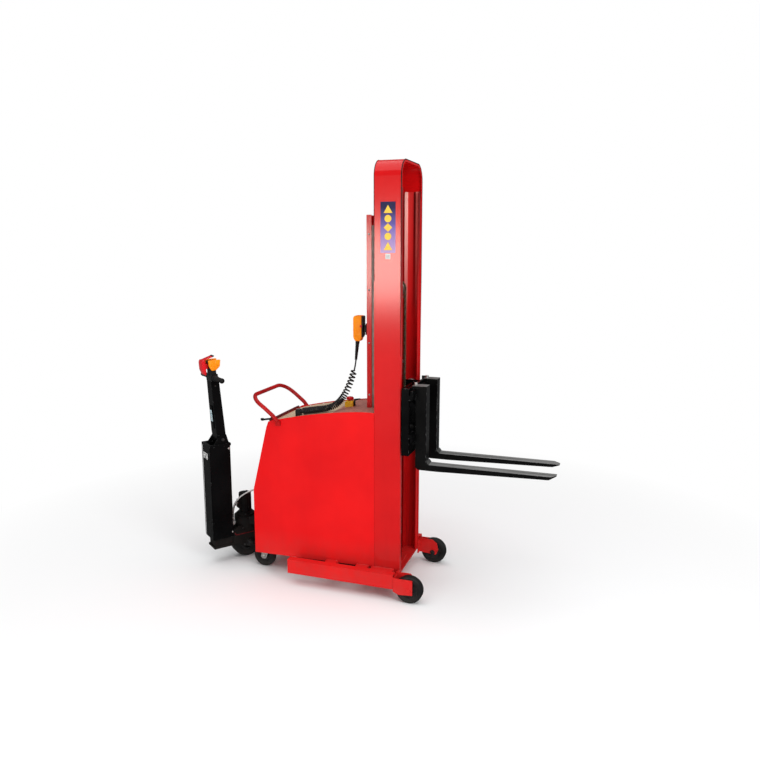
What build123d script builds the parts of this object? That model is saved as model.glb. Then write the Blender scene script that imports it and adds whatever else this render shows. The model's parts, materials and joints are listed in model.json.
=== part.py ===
from build123d import *
import os
from math import cos, pi, radians, sin, tan

# Walkie stacker. Millimetres, +X towards the fork tips, +Y left, +Z up, floor at z = 0.
# Every x below is measured from the front face of the mast; FRAME_X then moves the whole
# machine so that the middle of its length lies at x = 0.
FRAME_X = 227.6

# mast: an inverted-U sheet wrapper round two C-channels
MAST_W = 360.0
MAST_D = 137.0
MAST_TOP = 2170.0
MAST_BOTTOM = 98.0
HOOD_R = 80.0
SHEET = 4.0
LIP_W = 12.0
CHANNEL_D = 76.0
CHANNEL_FLANGE = 38.0
CHANNEL_WALL = 5.0
CHANNEL_TOP = 2040.0
HALF_W = MAST_W / 2
INNER_W = HALF_W - SHEET

# power pack body behind the mast
REAR_X = -832.0
PANEL_BOTTOM = 110.0
PANEL_FRONT_Z = 124.0
REAR_COVER_Z = 150.0
KNEE_Z = 472.0
SHOULDER_X = -742.0
SHOULDER_Z = 826.0
TOP_REAR = (-667.0, 875.0)
TOP_MID = (-400.0, 927.0)
TOP_FRONT = (-200.0, 948.0)
PANEL_T = 3.0
COVER_RECESS = 5.0
HANDLE_TUBE_R = 10.5
HANDLE_BEND_R = 70.0
LATCH_X = -722.0
LATCH_Y = -145.0
LATCH_DEG = 45.0
PLATE_REAR_X = -375.0
FLOOR_Z = 156.0
FLOOR_T = 6.0

# side rails and load wheels
RAIL_OUT = 277.0
RAIL_IN = 239.0
RAIL_Z0 = 68.0
RAIL_Z1 = 144.0
RAIL_REAR = -590.0
RAIL_FRONT = -6.0
RAIL_WALL = 5.0
OUTRIGGERS = ((-404.0, -341.0), (-234.0, -167.0))
OUTRIGGER_Y = 140.0
FRONT_TIE = (-150.0, -30.0)
TIE_Z0 = 84.0
TIE_Z1 = 130.0
RIB_Z = 108.0
PLATE_T = 6.0
BRACKET_NOSE = 95.0
BRACKET_Z0 = 50.0
BRACKET_Z1 = 128.0
WHEEL_X = 74.0
WHEEL_Y = 248.0
WHEEL_R = 70.0
WHEEL_W = 42.0
AXLE_R = 8.0
RUN_FIT = 0.05

# rear casters
CASTER_X = -787.0
CASTER_Y = 100.0
CASTER_TRAIL = 27.0
CASTER_R = 63.5
CASTER_W = 32.0
KINGPIN_R = 9.0

# lift: ram, crosshead sheave, chain and carriage
RAM_X = -70.0
BARREL_R = 25.0
BARREL_TOP = 1180.0
ROD_R = 13.0
ROD_LENGTH = 1050.0
SHEAVE_R = 36.0
SHEAVE_Z = 1560.0
CHAIN_T = 11.0
CHAIN_W = 16.0
ANCHOR_Z = 900.0
CARRIAGE_CHAIN_Z = 722.0
CARRIAGE_HALF_W = 190.0
CARRIAGE_X0 = 8.0
CARRIAGE_X1 = 45.0
CARRIAGE_Z0 = 745.0
CARRIAGE_Z1 = 1085.0
ARM_Y0 = 122.0
ARM_Y1 = 134.0
ROLLER_R = 32.5
ROLLER_X = -43.0
ROLLER_Y = 154.0
ROLLER_W = 28.0
ROLLER_ZS = (800.0, 1040.0)
STUB_R = 10.0

# forks
FORK_Y = 107.0
FORK_W = 60.0
FORK_TOP = 693.0
FORK_TIP_X = 755.0
SHANK_X0 = 65.5
SHANK_X1 = 120.5
SHANK_TOP = 1090.0
HEEL_Z = 662.0
TIP_T = 16.0
TIP_CUT = 30.0
TIP_SLOPE = 36.0

# drive and steer unit, drawn steered straight back (operator towards -X) on its own axis
STEER_X = -990.0
STEER_DEG = 53.0
RING_Z0 = 205.0
RING_Z1 = 245.0
SPINDLE_R = 40.0
DRIVE_R = 88.0
DRIVE_W = 62.0
DRIVE_HUB_R = 52.0
COLUMN_W = 113.0
COLUMN_IN = 98.0
COLUMN_OUT = 218.0
COLUMN_Z0 = 150.0
COLUMN_Z1 = 698.0
PIVOT_R = 139.0
PIVOT_Z = 722.0
LEAN_DEG = 4.0
ARM_LENGTH = 330.0
BAR_UP = 345.0
BAR_HALF = 143.0
GRIP_R = 13.0

# pendant control and its curly cord
GUARD_HALF = 45.0
GUARD_X0 = -223.0
GUARD_X1 = -197.0
GUARD_TOP = 1920.0
PENDANT_X0 = -308.0
PENDANT_X1 = -254.0
PENDANT_Z0 = 1283.0
PENDANT_Z1 = 1416.0
PENDANT_HALF = 21.0
COIL_D = 37.0
LEAD_D = 8.0
CABLE_D = 14.0
GLAND_HALF = 13.0
COIL_ROUTE = (
    (-562, -130, 914),
    (-487, -136, 930),
    (-418, -134, 941),
    (-378, -111, 953),
    (-352, -80, 981),
    (-334, -50, 1023),
    (-322, -21, 1070),
    (-308, 0, 1134),
)
LEAD_ROUTE = (
    (-308, 0, 1134),
    (-303, 1, 1160),
    (-300, 0, 1182),
)
CABLE_ROUTE = (
    (-832, -60, 440),
    (-876, -61, 432),
    (-922, -62, 412),
    (-967, -63, 384),
    (-1006, -63, 348),
    (-1031, -62, 304),
    (-1039, -61, 251),
    (-1035, -59, 200),
)

os.makedirs("parts", exist_ok=True)


def save(name, shape):
    """Put a finished node in the machine's frame and write it."""
    solids = Pos(FRAME_X, 0, 0) * Compound(children=list(shape.solids()))
    export_step(solids, f"parts/{name}.step")


def block(x0, x1, y0, y1, z0, z1):
    centre = Pos((x0 + x1) / 2, (y0 + y1) / 2, (z0 + z1) / 2)
    return centre * Box(abs(x1 - x0), abs(y1 - y0), abs(z1 - z0))


def round_bar(start, end, radius, end_radius=None):
    """A round bar, or a cone, from one point to another."""
    a = Vector(*start)
    b = Vector(*end)
    plane = Plane(origin=a, z_dir=(b - a))
    up = (Align.CENTER, Align.CENTER, Align.MIN)
    if end_radius is None:
        return plane * Cylinder(radius, (b - a).length, align=up)
    return plane * Cone(radius, end_radius, (b - a).length, align=up)


def disc_y(x, y0, y1, z, radius):
    """A disc whose axis lies along Y."""
    return round_bar((x, y0, z), (x, y1, z), radius)


def plate_xz(points, y0, y1):
    """A plate with a straight-sided outline seen from the side."""
    outline = Polyline(*[(x, y0, z) for x, z in points], close=True)
    return extrude(make_face(outline), amount=y1 - y0, dir=(0, 1, 0))


def plate_xy(points, z0, z1):
    """A plate with a straight-sided outline seen from above."""
    outline = Polyline(*[(x, y, z0) for x, y in points], close=True)
    return extrude(make_face(outline), amount=z1 - z0, dir=(0, 0, 1))


def mirrored(shape):
    return mirror(shape, about=Plane.XZ)


def save_pair(name, right_shape):
    """Write the right-hand (-Y) piece and its left-hand mirror image."""
    save("right_" + name, right_shape)
    save("left_" + name, mirrored(right_shape))


def straight_and_arcs(route):
    """A cord's path: its runs joined by tangent arcs, each as large as its runs allow."""
    points = [Vector(*p) for p in route]
    radii = []
    for before, corner, after in zip(points, points[1:], points[2:]):
        run_in = corner - before
        run_out = after - corner
        half_turn = radians(run_in.get_angle(run_out)) / 2
        radii.append(0.45 * min(run_in.length, run_out.length) / tan(half_turn))
    return FilletPolyline(*points, radius=radii), radii


def cord_tube(name, route, diameter):
    path, radii = straight_and_arcs(route)
    start = Plane(origin=path @ 0, z_dir=path % 0)
    tube = sweep(start * Circle(diameter / 2), path=path)
    section = pi * diameter ** 2 / 4
    ratio = tube.volume / (section * path.length)
    print(name, "length", round(path.length, 1), "volume ratio", round(ratio, 4))
    print(name, "radii", [round(r) for r in radii])
    save(name, tube)


# ---------------------------------------------------------------- mast

def hood_outline(inset):
    """The mast wrapper's outline in the YZ plane: two legs and rounded shoulders."""
    half = HALF_W - inset
    top = MAST_TOP - inset
    radius = HOOD_R - inset
    flat = half - radius
    corner = radius * (1 - cos(radians(45)))
    right_leg = Line((0, -half, MAST_BOTTOM), (0, -half, top - radius))
    right_arc = ThreePointArc(
        (0, -half, top - radius), (0, -half + corner, top - corner), (0, -flat, top)
    )
    crown = Line((0, -flat, top), (0, flat, top))
    left_arc = ThreePointArc((0, flat, top), (0, half - corner, top - corner), (0, half, top - radius))
    left_leg = Line((0, half, top - radius), (0, half, MAST_BOTTOM))
    foot = Line((0, half, MAST_BOTTOM), (0, -half, MAST_BOTTOM))
    return make_face(Wire([right_leg, right_arc, crown, left_arc, left_leg, foot]))


def mast_shell():
    """Sheet wrapper: side walls, rounded top, and a lip turned in at each front edge."""
    outer = extrude(hood_outline(0), amount=MAST_D, dir=(-1, 0, 0))
    inner = extrude(hood_outline(SHEET), amount=MAST_D, dir=(-1, 0, 0))
    hollow = outer - inner
    lip_face = hood_outline(0) - hood_outline(LIP_W)
    return hollow + extrude(lip_face, amount=SHEET, dir=(-1, 0, 0))


def mast_channel():
    """Right-hand C-channel, open towards the middle of the mast."""
    x0 = -SHEET - 1.0
    x1 = x0 - CHANNEL_D
    y0 = -INNER_W
    y1 = -INNER_W + CHANNEL_FLANGE
    body = block(x1, x0, y0, y1, MAST_BOTTOM + 10, CHANNEL_TOP)
    slot = block(
        x1 + CHANNEL_WALL, x0 - CHANNEL_WALL, y0 + CHANNEL_WALL, y1 + 1, MAST_BOTTOM, CHANNEL_TOP + 1
    )
    top_round = 12.0
    channel = body - slot
    corners = channel.edges().filter_by(Axis.X).group_by(Axis.Z)[-1].sort_by(Axis.Y)[-2:]
    return fillet(corners, top_round)


def mast_back_panel():
    """Sheet that closes the back of the mast, with the bracket that anchors the chain."""
    sheet = Pos(-MAST_D + 4, 0, 0) * extrude(hood_outline(SHEET), amount=3, dir=(-1, 0, 0))
    sheet -= block(-MAST_D, 0, -HALF_W, HALF_W, MAST_BOTTOM - 1, MAST_BOTTOM + 10)
    anchor_x = RAM_X - SHEAVE_R
    bracket = block(-MAST_D + 4, anchor_x + CHAIN_T / 2, -18, 18, ANCHOR_Z - 24, ANCHOR_Z)
    return sheet + bracket


def mast_foot():
    """Base plate that ties the channels and carries the ram."""
    plate = block(-MAST_D, -SHEET, -INNER_W, INNER_W, MAST_BOTTOM, MAST_BOTTOM + 10)
    pad = block(-110, -30, -60, 60, MAST_BOTTOM + 10, MAST_BOTTOM + 18)
    return plate + pad


def lift_cylinder():
    base = MAST_BOTTOM + 18
    barrel = round_bar((RAM_X, 0, base), (RAM_X, 0, BARREL_TOP), BARREL_R)
    bore = round_bar((RAM_X, 0, base + 12), (RAM_X, 0, BARREL_TOP + 1), ROD_R + 0.06)
    port = round_bar((RAM_X, 0, base + 30), (RAM_X, 50, base + 30), 9)
    return barrel + port - bore


# ---------------------------------------------------------------- power pack body

def top_edge(drop):
    """The gently crowned top line of the side panels, lowered by a distance."""
    points = [(x, 0, z - drop) for x, z in (TOP_REAR, TOP_MID, TOP_FRONT)]
    return ThreePointArc(*points)


def top_height(x, drop):
    arc = top_edge(drop)
    low = 0.0
    high = 1.0
    for _ in range(30):
        middle = (low + high) / 2
        if (arc @ middle).X < x:
            low = middle
        else:
            high = middle
    return (arc @ low).Z


def side_panel():
    """Right-hand side panel: straight back, slanted shoulder, crowned top."""
    arc = top_edge(0)
    front_x = -MAST_D
    outline = Wire([
        Line((front_x, 0, PANEL_FRONT_Z), (REAR_X, 0, PANEL_BOTTOM)),
        Line((REAR_X, 0, PANEL_BOTTOM), (REAR_X + 2, 0, KNEE_Z)),
        Line((REAR_X + 2, 0, KNEE_Z), (SHOULDER_X, 0, SHOULDER_Z)),
        ThreePointArc((SHOULDER_X, 0, SHOULDER_Z), (-719, 0, 859), (TOP_REAR[0], 0, TOP_REAR[1])),
        arc,
        Line((TOP_FRONT[0], 0, TOP_FRONT[1]), (front_x, 0, TOP_FRONT[1])),
        Line((front_x, 0, TOP_FRONT[1]), (front_x, 0, PANEL_FRONT_Z)),
    ])
    face = Pos(0, -HALF_W, 0) * make_face(outline)
    return extrude(face, amount=PANEL_T, dir=(0, 1, 0))


def rear_cover():
    """Folded sheet between the side panels: back, slanted shoulder and raised rear lip."""
    half = HALF_W - PANEL_T
    t = 3.0
    outer = [
        (REAR_X, REAR_COVER_Z),
        (REAR_X + 2, KNEE_Z),
        (SHOULDER_X, SHOULDER_Z),
        (SHOULDER_X + 10, 856),
        (SHOULDER_X + 24, 862),
        (SHOULDER_X + 27, 856),
        (SHOULDER_X + 14, 850),
        (SHOULDER_X + 2 * t, SHOULDER_Z - 18),
        (REAR_X + 2 + t, KNEE_Z - 1),
        (REAR_X + t, REAR_COVER_Z),
    ]
    stud = round_bar((LATCH_X, LATCH_Y, 858), (LATCH_X, LATCH_Y, 876), 5)
    return plate_xz(outer, -half, half) + stud


def crowned_cover(x0, x1, drop, thickness):
    """A stretch of the recessed top, following the panels' crown."""
    half = HALF_W - PANEL_T
    steps = 6
    xs = [x0 + (x1 - x0) * i / steps for i in range(steps + 1)]
    upper = [(x, top_height(x, drop)) for x in xs]
    lower = [(x, z - thickness) for x, z in reversed(upper)]
    return plate_xz(upper + lower, -half, half)


def top_cover():
    flat_x = SHOULDER_X + 28
    cover = crowned_cover(TOP_REAR[0], PLATE_REAR_X, COVER_RECESS, 3)
    rear_z = top_height(TOP_REAR[0], COVER_RECESS)
    half = HALF_W - PANEL_T
    ramp = plate_xz(
        [
            (flat_x, rear_z - 14),
            (TOP_REAR[0], rear_z),
            (TOP_REAR[0], rear_z - 3),
            (flat_x, rear_z - 17),
        ],
        -half,
        half,
    )
    return cover + ramp


def top_plate():
    """Front stretch of the top, which carries the stop button and the rear guard."""
    half = HALF_W - PANEL_T
    z = top_height(TOP_FRONT[0], COVER_RECESS)
    crown = crowned_cover(PLATE_REAR_X, TOP_FRONT[0], COVER_RECESS, 4)
    level = block(TOP_FRONT[0], -MAST_D, -half, half, z - 4, z)
    return crown + level


def chassis_floor():
    half = HALF_W - PANEL_T
    pan = block(REAR_X + 5, -MAST_D, -half, half, FLOOR_Z, FLOOR_Z + FLOOR_T)
    ribs = block(-640, -610, -half, half, FLOOR_Z - 30, FLOOR_Z)
    for x0, x1 in OUTRIGGERS:
        ribs += block(x0, x1, -half, half, RIB_Z, FLOOR_Z)
    return pan + ribs


def rear_latch():
    """Quarter-turn latch on the rear lip: a short bar on a pin, left partly turned."""
    bar = block(-56, 10, -7, 7, 863, 870)
    boss = round_bar((0, 0, 863), (0, 0, 874), 10)
    grip = block(-62, -48, -10, 10, 863, 873)
    bore = round_bar((0, 0, 860), (0, 0, 880), 5 + RUN_FIT)
    return Pos(LATCH_X, LATCH_Y, 0) * Rot(0, 0, LATCH_DEG) * (bar + boss + grip - bore)


def push_handle():
    """Bent tube loop, held by a lug on the outer face of each side panel."""
    y = HALF_W + HANDLE_TUBE_R + 0.5
    points = (
        (-671, -y, 864),
        (-693, -y, 892),
        (-747, -y, 935),
        (-823, -y, 989),
        (-823, y, 989),
        (-747, y, 935),
        (-693, y, 892),
        (-671, y, 864),
    )
    path = FilletPolyline(*points, radius=(40, 200, HANDLE_BEND_R, HANDLE_BEND_R, 200, 40))
    section = Plane(origin=path @ 0, z_dir=path % 0) * Circle(HANDLE_TUBE_R)
    tube = sweep(section, path=path)
    lugs = Part()
    for side in (-1, 1):
        y0 = min(side * HALF_W, side * y)
        y1 = max(side * HALF_W, side * y)
        lugs += block(-682, -656, y0, y1, 842, 866)
    return tube + lugs


# ---------------------------------------------------------------- rails, wheels, casters

def side_rail():
    """Right-hand box rail, held off the foot of the body by outriggers."""
    t = RAIL_WALL
    tube = block(RAIL_REAR, RAIL_FRONT, -RAIL_OUT, -RAIL_IN, RAIL_Z0, RAIL_Z1)
    inside = block(RAIL_REAR + t, RAIL_FRONT + t, -RAIL_OUT + t, -RAIL_IN - t, RAIL_Z0 + t, RAIL_Z1 - t)
    rail = tube - inside
    for x0, x1 in OUTRIGGERS + (FRONT_TIE,):
        rail += block(x0, x1, -RAIL_IN, -HALF_W, TIE_Z0, TIE_Z1)
    for x0, x1 in OUTRIGGERS:
        rail += block(x0, x1, -HALF_W, -OUTRIGGER_Y, TIE_Z0, RIB_Z)
    return rail


def wheel_bracket():
    """Fork of two plates in front of the right-hand rail, with the wheel's axle."""
    outer = plate_xz(
        [
            (RAIL_FRONT, BRACKET_Z1),
            (BRACKET_NOSE, BRACKET_Z1),
            (BRACKET_NOSE, BRACKET_Z0),
            (24, BRACKET_Z0 - 6),
            (RAIL_FRONT, BRACKET_Z0 + 8),
        ],
        -RAIL_OUT,
        -RAIL_OUT + PLATE_T,
    )
    inner_y = -WHEEL_Y + WHEEL_W / 2 + 2
    inner = plate_xz(
        [
            (RAIL_FRONT, RAIL_Z1 - 4),
            (70, RAIL_Z1 - 4),
            (96, RAIL_Z1 - 24),
            (104, 84),
            (92, BRACKET_Z0 + 4),
            (RAIL_FRONT, BRACKET_Z0 + 12),
        ],
        inner_y,
        inner_y + PLATE_T,
    )
    web = block(RAIL_FRONT, RAIL_FRONT + 7, -RAIL_OUT, -HALF_W, RAIL_Z0, BRACKET_Z1)
    axle = disc_y(WHEEL_X, -RAIL_OUT - 4, inner_y + PLATE_T + 8, WHEEL_R, AXLE_R)
    nut = disc_y(WHEEL_X, inner_y + PLATE_T, inner_y + PLATE_T + 7, WHEEL_R, 13)
    head = disc_y(WHEEL_X, -RAIL_OUT - 3, -RAIL_OUT, WHEEL_R, 12)
    return outer + inner + web + axle + nut + head


def roller_wheel(x, y, z, radius, width, bore, rim_chamfer):
    """A solid wheel with dished faces and a bored hub, axis along Y."""
    body = disc_y(x, y - width / 2, y + width / 2, z, radius)
    body = chamfer(body.edges().filter_by(GeomType.CIRCLE), rim_chamfer)
    for side in (-1, 1):
        face = y + side * width / 2
        dish = disc_y(x, face - side * 4, face + side, z, radius * 0.72)
        hub = disc_y(x, face - side * 5, face + side * 2, z, bore + 12)
        body -= dish - hub
    return body - disc_y(x, y - width, y + width, z, bore)


def caster_plates():
    """Top plates of both casters, with their kingpins."""
    group = Part()
    for side in (-1, 1):
        y = side * CASTER_Y
        group += block(CASTER_X - 38, CASTER_X + 52, y - 40, y + 40, 150, FLOOR_Z)
        group += round_bar((CASTER_X, y, 131), (CASTER_X, y, 150), KINGPIN_R)
        group += round_bar((CASTER_X, y, 130), (CASTER_X, y, 135.5), KINGPIN_R + 6)
    return group


def caster_fork():
    """Right-hand caster fork, which swivels round its kingpin and trails the wheel."""
    y = -CASTER_Y
    wheel_x = CASTER_X - CASTER_TRAIL
    crown = round_bar((CASTER_X, y, 136), (CASTER_X, y, 149.7), 27)
    top = block(CASTER_X - 26, CASTER_X + 20, y - 21.5, y + 21.5, 136, 140)
    legs = Part()
    for y0 in (y - 21.5, y + 18.5):
        leg = plate_xz(
            [
                (CASTER_X - 26, 139),
                (CASTER_X + 16, 139),
                (wheel_x + 17, CASTER_R - 8),
                (wheel_x + 8, CASTER_R - 16),
                (wheel_x - 8, CASTER_R - 16),
                (wheel_x - 17, CASTER_R - 6),
            ],
            y0,
            y0 + 3,
        )
        window = plate_xz(
            [
                (CASTER_X - 12, 120),
                (CASTER_X + 3, 120),
                (CASTER_X - 6, 98),
                (CASTER_X - 20, 98),
            ],
            y0 - 1,
            y0 + 4,
        )
        legs += leg - window
    axle = disc_y(wheel_x, y - 25, y + 25, CASTER_R, 6)
    nuts = disc_y(wheel_x, y - 25, y - 21.5, CASTER_R, 10) + disc_y(wheel_x, y + 21.5, y + 25, CASTER_R, 10)
    bore = round_bar((CASTER_X, y, 130), (CASTER_X, y, 152), KINGPIN_R + RUN_FIT)
    return crown + top + legs + axle + nuts - bore


# ---------------------------------------------------------------- lift

def lift_rod():
    """Ram rod with the crosshead that carries the chain sheave."""
    yoke_z = SHEAVE_Z - 50
    rod = round_bar((RAM_X, 0, yoke_z - ROD_LENGTH), (RAM_X, 0, yoke_z), ROD_R)
    base = block(RAM_X - 28, RAM_X + 24, -26, 26, yoke_z, yoke_z + 9)
    cheeks = Part()
    for y0 in (-26, 18):
        cheeks += block(RAM_X - 20, RAM_X + 20, y0, y0 + 8, yoke_z, SHEAVE_Z + 20)
    pin = disc_y(RAM_X, -29, 29, SHEAVE_Z, STUB_R)
    return rod + base + cheeks + pin


def chain_sheave():
    rim = SHEAVE_R - CHAIN_T / 2
    sheave = disc_y(RAM_X, -14, 14, SHEAVE_Z, rim)
    for y0, y1 in ((-16, -10), (10, 16)):
        sheave += disc_y(RAM_X, y0, y1, SHEAVE_Z, rim + 5)
    return sheave - disc_y(RAM_X, -20, 20, SHEAVE_Z, STUB_R + RUN_FIT)


def chain_run(x, z0, z1):
    return block(x - CHAIN_T / 2, x + CHAIN_T / 2, -CHAIN_W / 2, CHAIN_W / 2, z0, z1)


def carriage_frame():
    """Front plate with side returns, roller arms, cross bars, chain lug and fork bars."""
    w = CARRIAGE_HALF_W
    plate = block(CARRIAGE_X1 - 12, CARRIAGE_X1, -w, w, CARRIAGE_Z0, CARRIAGE_Z1)
    frame = plate
    for side in (-1, 1):
        y_out = side * w
        y_in = side * (w - 8)
        frame += block(CARRIAGE_X0, CARRIAGE_X1, min(y_out, y_in), max(y_out, y_in), CARRIAGE_Z0, CARRIAGE_Z1)
        a0 = min(side * ARM_Y0, side * ARM_Y1)
        a1 = max(side * ARM_Y0, side * ARM_Y1)
        frame += block(ROLLER_X - 24, CARRIAGE_X1 - 6, a0, a1, ROLLER_ZS[0] - 34, ROLLER_ZS[1] + 30)
        for z in ROLLER_ZS:
            frame += disc_y(ROLLER_X, side * ARM_Y1, side * (ROLLER_Y + ROLLER_W / 2), z, STUB_R)
    for z0, z1 in ((752, 778), (1030, 1062)):
        frame += block(-24, -10, -ARM_Y1, ARM_Y1, z0, z1)
    lug_x = RAM_X + SHEAVE_R
    frame += block(lug_x - 6, -10, -18, 18, CARRIAGE_CHAIN_Z - 26, CARRIAGE_CHAIN_Z)
    frame += block(-24, -10, -18, 18, CARRIAGE_CHAIN_Z - 26, 760)
    frame += block(CARRIAGE_X1, 53, -w, w, 1028, 1052)
    frame += block(53, 65, -w, w, 1028, 1074)
    frame += block(CARRIAGE_X1, 53, -w, w, 834, 852)
    frame += block(53, 65, -w, w, 812, 852)
    return frame


def fork():
    """Right-hand fork: tapered blade, shank, and hooks over the two fork bars."""
    y0 = -FORK_Y - FORK_W / 2
    y1 = -FORK_Y + FORK_W / 2
    side = [
        (SHANK_X0, SHANK_TOP),
        (SHANK_X1, SHANK_TOP),
        (SHANK_X1, FORK_TOP + 14),
        (SHANK_X1 + 14, FORK_TOP),
        (FORK_TIP_X, FORK_TOP),
        (FORK_TIP_X, FORK_TOP - 3),
        (FORK_TIP_X - TIP_SLOPE, FORK_TOP - TIP_T),
        (SHANK_X1 + 60, HEEL_Z),
        (SHANK_X0 + 14, HEEL_Z),
        (SHANK_X0, HEEL_Z + 12),
    ]
    body = plate_xz(side, y0, y1)
    cut = plate_xy(
        [
            (FORK_TIP_X - TIP_CUT, y0),
            (FORK_TIP_X + 1, y0 + TIP_CUT),
            (FORK_TIP_X + 1, y0 - 5),
            (FORK_TIP_X - TIP_CUT, y0 - 5),
        ],
        HEEL_Z - 10,
        FORK_TOP + 10,
    )
    upper_hook = block(46, SHANK_X0 + 5, y0, y1, 1075, SHANK_TOP) + block(46, 52.5, y0, y1, 1053, 1080)
    lower_hook = block(46, SHANK_X0 + 5, y0, y1, 796, 811) + block(46, 52.5, y0, y1, 800, 833)
    return body - cut + upper_hook + lower_hook


# ---------------------------------------------------------------- drive and steer unit

STEER = Pos(STEER_X, 0, 0) * Rot(0, 0, STEER_DEG)
TILLER = STEER * Pos(-PIVOT_R, 0, PIVOT_Z) * Rot(0, -LEAN_DEG, 0)


def drive_mount():
    """Fixed arm from the back of the body to the steering bearing's ring."""
    ring = round_bar((STEER_X, 0, RING_Z0), (STEER_X, 0, RING_Z1), 64)
    arm = block(STEER_X, REAR_X - 8, -42, 42, RING_Z0, RING_Z1)
    flange = block(REAR_X - 8, REAR_X, -90, 90, 160, 290)
    gussets = Part()
    for y0 in (-42, 34):
        gussets += plate_xz([(REAR_X - 8, 165), (REAR_X - 8, RING_Z0), (-900, RING_Z0)], y0, y0 + 8)
    bore = round_bar((STEER_X, 0, RING_Z0 - 1), (STEER_X, 0, RING_Z1 + 1), SPINDLE_R + RUN_FIT)
    return ring + arm + flange + gussets - bore


def drive_housing():
    """Steered frame: spindle with its flanges, wheel cheeks, axle and column bracket."""
    spindle = round_bar((0, 0, 190), (0, 0, 256), SPINDLE_R)
    lower = round_bar((0, 0, 188), (0, 0, RING_Z0 - 0.5), 60)
    upper = round_bar((0, 0, RING_Z1 + 0.5), (0, 0, 256), 52)
    frame = spindle + lower + upper
    for y0 in (-47, 37):
        frame += plate_xz(
            [
                (-52, 198),
                (52, 198),
                (56, 120),
                (34, 66),
                (-34, 66),
                (-62, 92),
                (-COLUMN_IN, 92),
                (-COLUMN_IN, 176),
                (-60, 198),
            ],
            y0,
            y0 + 10,
        )
    frame += block(-COLUMN_OUT + 8, -92, -47, 47, 92, 104)
    frame += block(-COLUMN_IN, -90, -47, 47, 92, COLUMN_Z0)
    frame += block(-88, -60, -38, 38, 168, 180)
    frame += round_bar((-74, 0, 180), (-74, 0, 199), 11)
    frame += block(-COLUMN_OUT + 14, -COLUMN_IN + 8, -40, 40, 104, COLUMN_Z0)
    frame += disc_y(0, -53, 53, DRIVE_R, 11)
    for side in (-1, 1):
        frame += disc_y(0, side * 47, side * 55, DRIVE_R, 21)
    return STEER * frame


def traction_motor():
    can = round_bar((0, 0, 256), (0, 0, 362), 33)
    cap = round_bar((0, 0, 362), (0, 0, 374), 35)
    foot = round_bar((0, 0, 256), (0, 0, 264), 44)
    box = block(-46, -28, -16, 16, 292, 340)
    return STEER * (can + cap + foot + box)


def drive_tyre():
    body = disc_y(0, -DRIVE_W / 2, DRIVE_W / 2, DRIVE_R, DRIVE_R)
    body = chamfer(body.edges().filter_by(GeomType.CIRCLE), 5)
    return STEER * (body - disc_y(0, -DRIVE_W, DRIVE_W, DRIVE_R, DRIVE_HUB_R))


def drive_hub():
    hub = disc_y(0, -DRIVE_W / 2 + 2, DRIVE_W / 2 - 2, DRIVE_R, DRIVE_HUB_R)
    for side in (-1, 1):
        face = side * (DRIVE_W / 2 - 2)
        hub -= disc_y(0, face - side * 12, face + side, DRIVE_R, 40) - disc_y(0, -40, 40, DRIVE_R, 24)
        for k in range(5):
            angle = radians(72 * k)
            bolt = (32 * cos(angle), face - side * 12, DRIVE_R + 32 * sin(angle))
            hub += round_bar(bolt, (bolt[0], face - side * 7, bolt[2]), 5)
    return STEER * (hub - disc_y(0, -DRIVE_W, DRIVE_W, DRIVE_R, 11 + RUN_FIT))


def column_box():
    """Tall sheet cover that carries the tiller's pivot on two ears."""
    half = COLUMN_W / 2
    shell = block(-COLUMN_OUT, -COLUMN_IN, -half, half, COLUMN_Z0, COLUMN_Z1)
    uprights = shell.edges().filter_by(Axis.Z)
    shell = fillet(uprights, 5)
    hollow = block(
        -COLUMN_OUT + 3, -COLUMN_IN - 3, -half + 3, half - 3, COLUMN_Z0 + 60, COLUMN_Z1 - 46
    )
    shell -= hollow
    well = block(-COLUMN_OUT + 12, -COLUMN_IN - 5, -39, 39, COLUMN_Z1 - 34, COLUMN_Z1 + 1)
    shell -= well
    ears = Part()
    for y0 in (-50, 41):
        ears += plate_xz(
            [
                (-COLUMN_OUT + 26, COLUMN_Z1 - 5),
                (-PIVOT_R - 14, PIVOT_Z + 24),
                (-PIVOT_R + 22, PIVOT_Z + 26),
                (-COLUMN_IN - 4, COLUMN_Z1 - 5),
            ],
            y0,
            y0 + 9,
        )
    pin = disc_y(-PIVOT_R, -54, 54, PIVOT_Z, 8)
    return STEER * (shell + ears + pin)


def tiller_arm():
    """Tapered sheet arm on the pivot pin; z runs up the arm from the pivot."""
    lower = 37.0
    upper = 31.0
    foot = 12.0
    side = [
        (-24, -foot),
        (26, -foot),
        (24, ARM_LENGTH - 20),
        (20, ARM_LENGTH),
        (-22, ARM_LENGTH),
        (-26, 40),
    ]
    arm = plate_xz(side, -lower, lower)
    for sign in (-1, 1):
        trim = plate_yz_wedge(sign, lower, upper)
        arm -= trim
    arm -= disc_y(0, -60, 60, 0, 8 + RUN_FIT)
    arm -= block(-18, 16, -26, 26, 40, ARM_LENGTH + 1)
    gauge_seat = block(-30, -22, -14, 14, 60, 190)
    return TILLER * (arm - gauge_seat + block(-30, -20, -13, 13, 62, 188))


def plate_yz_wedge(sign, lower, upper):
    """The wedge that tapers one side of the arm."""
    points = [
        (-60, sign * lower, 60),
        (-60, sign * upper, ARM_LENGTH + 1),
        (-60, sign * (lower + 10), ARM_LENGTH + 1),
        (-60, sign * (lower + 10), 60),
    ]
    return extrude(make_face(Polyline(*points, close=True)), amount=120, dir=(1, 0, 0))


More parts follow.
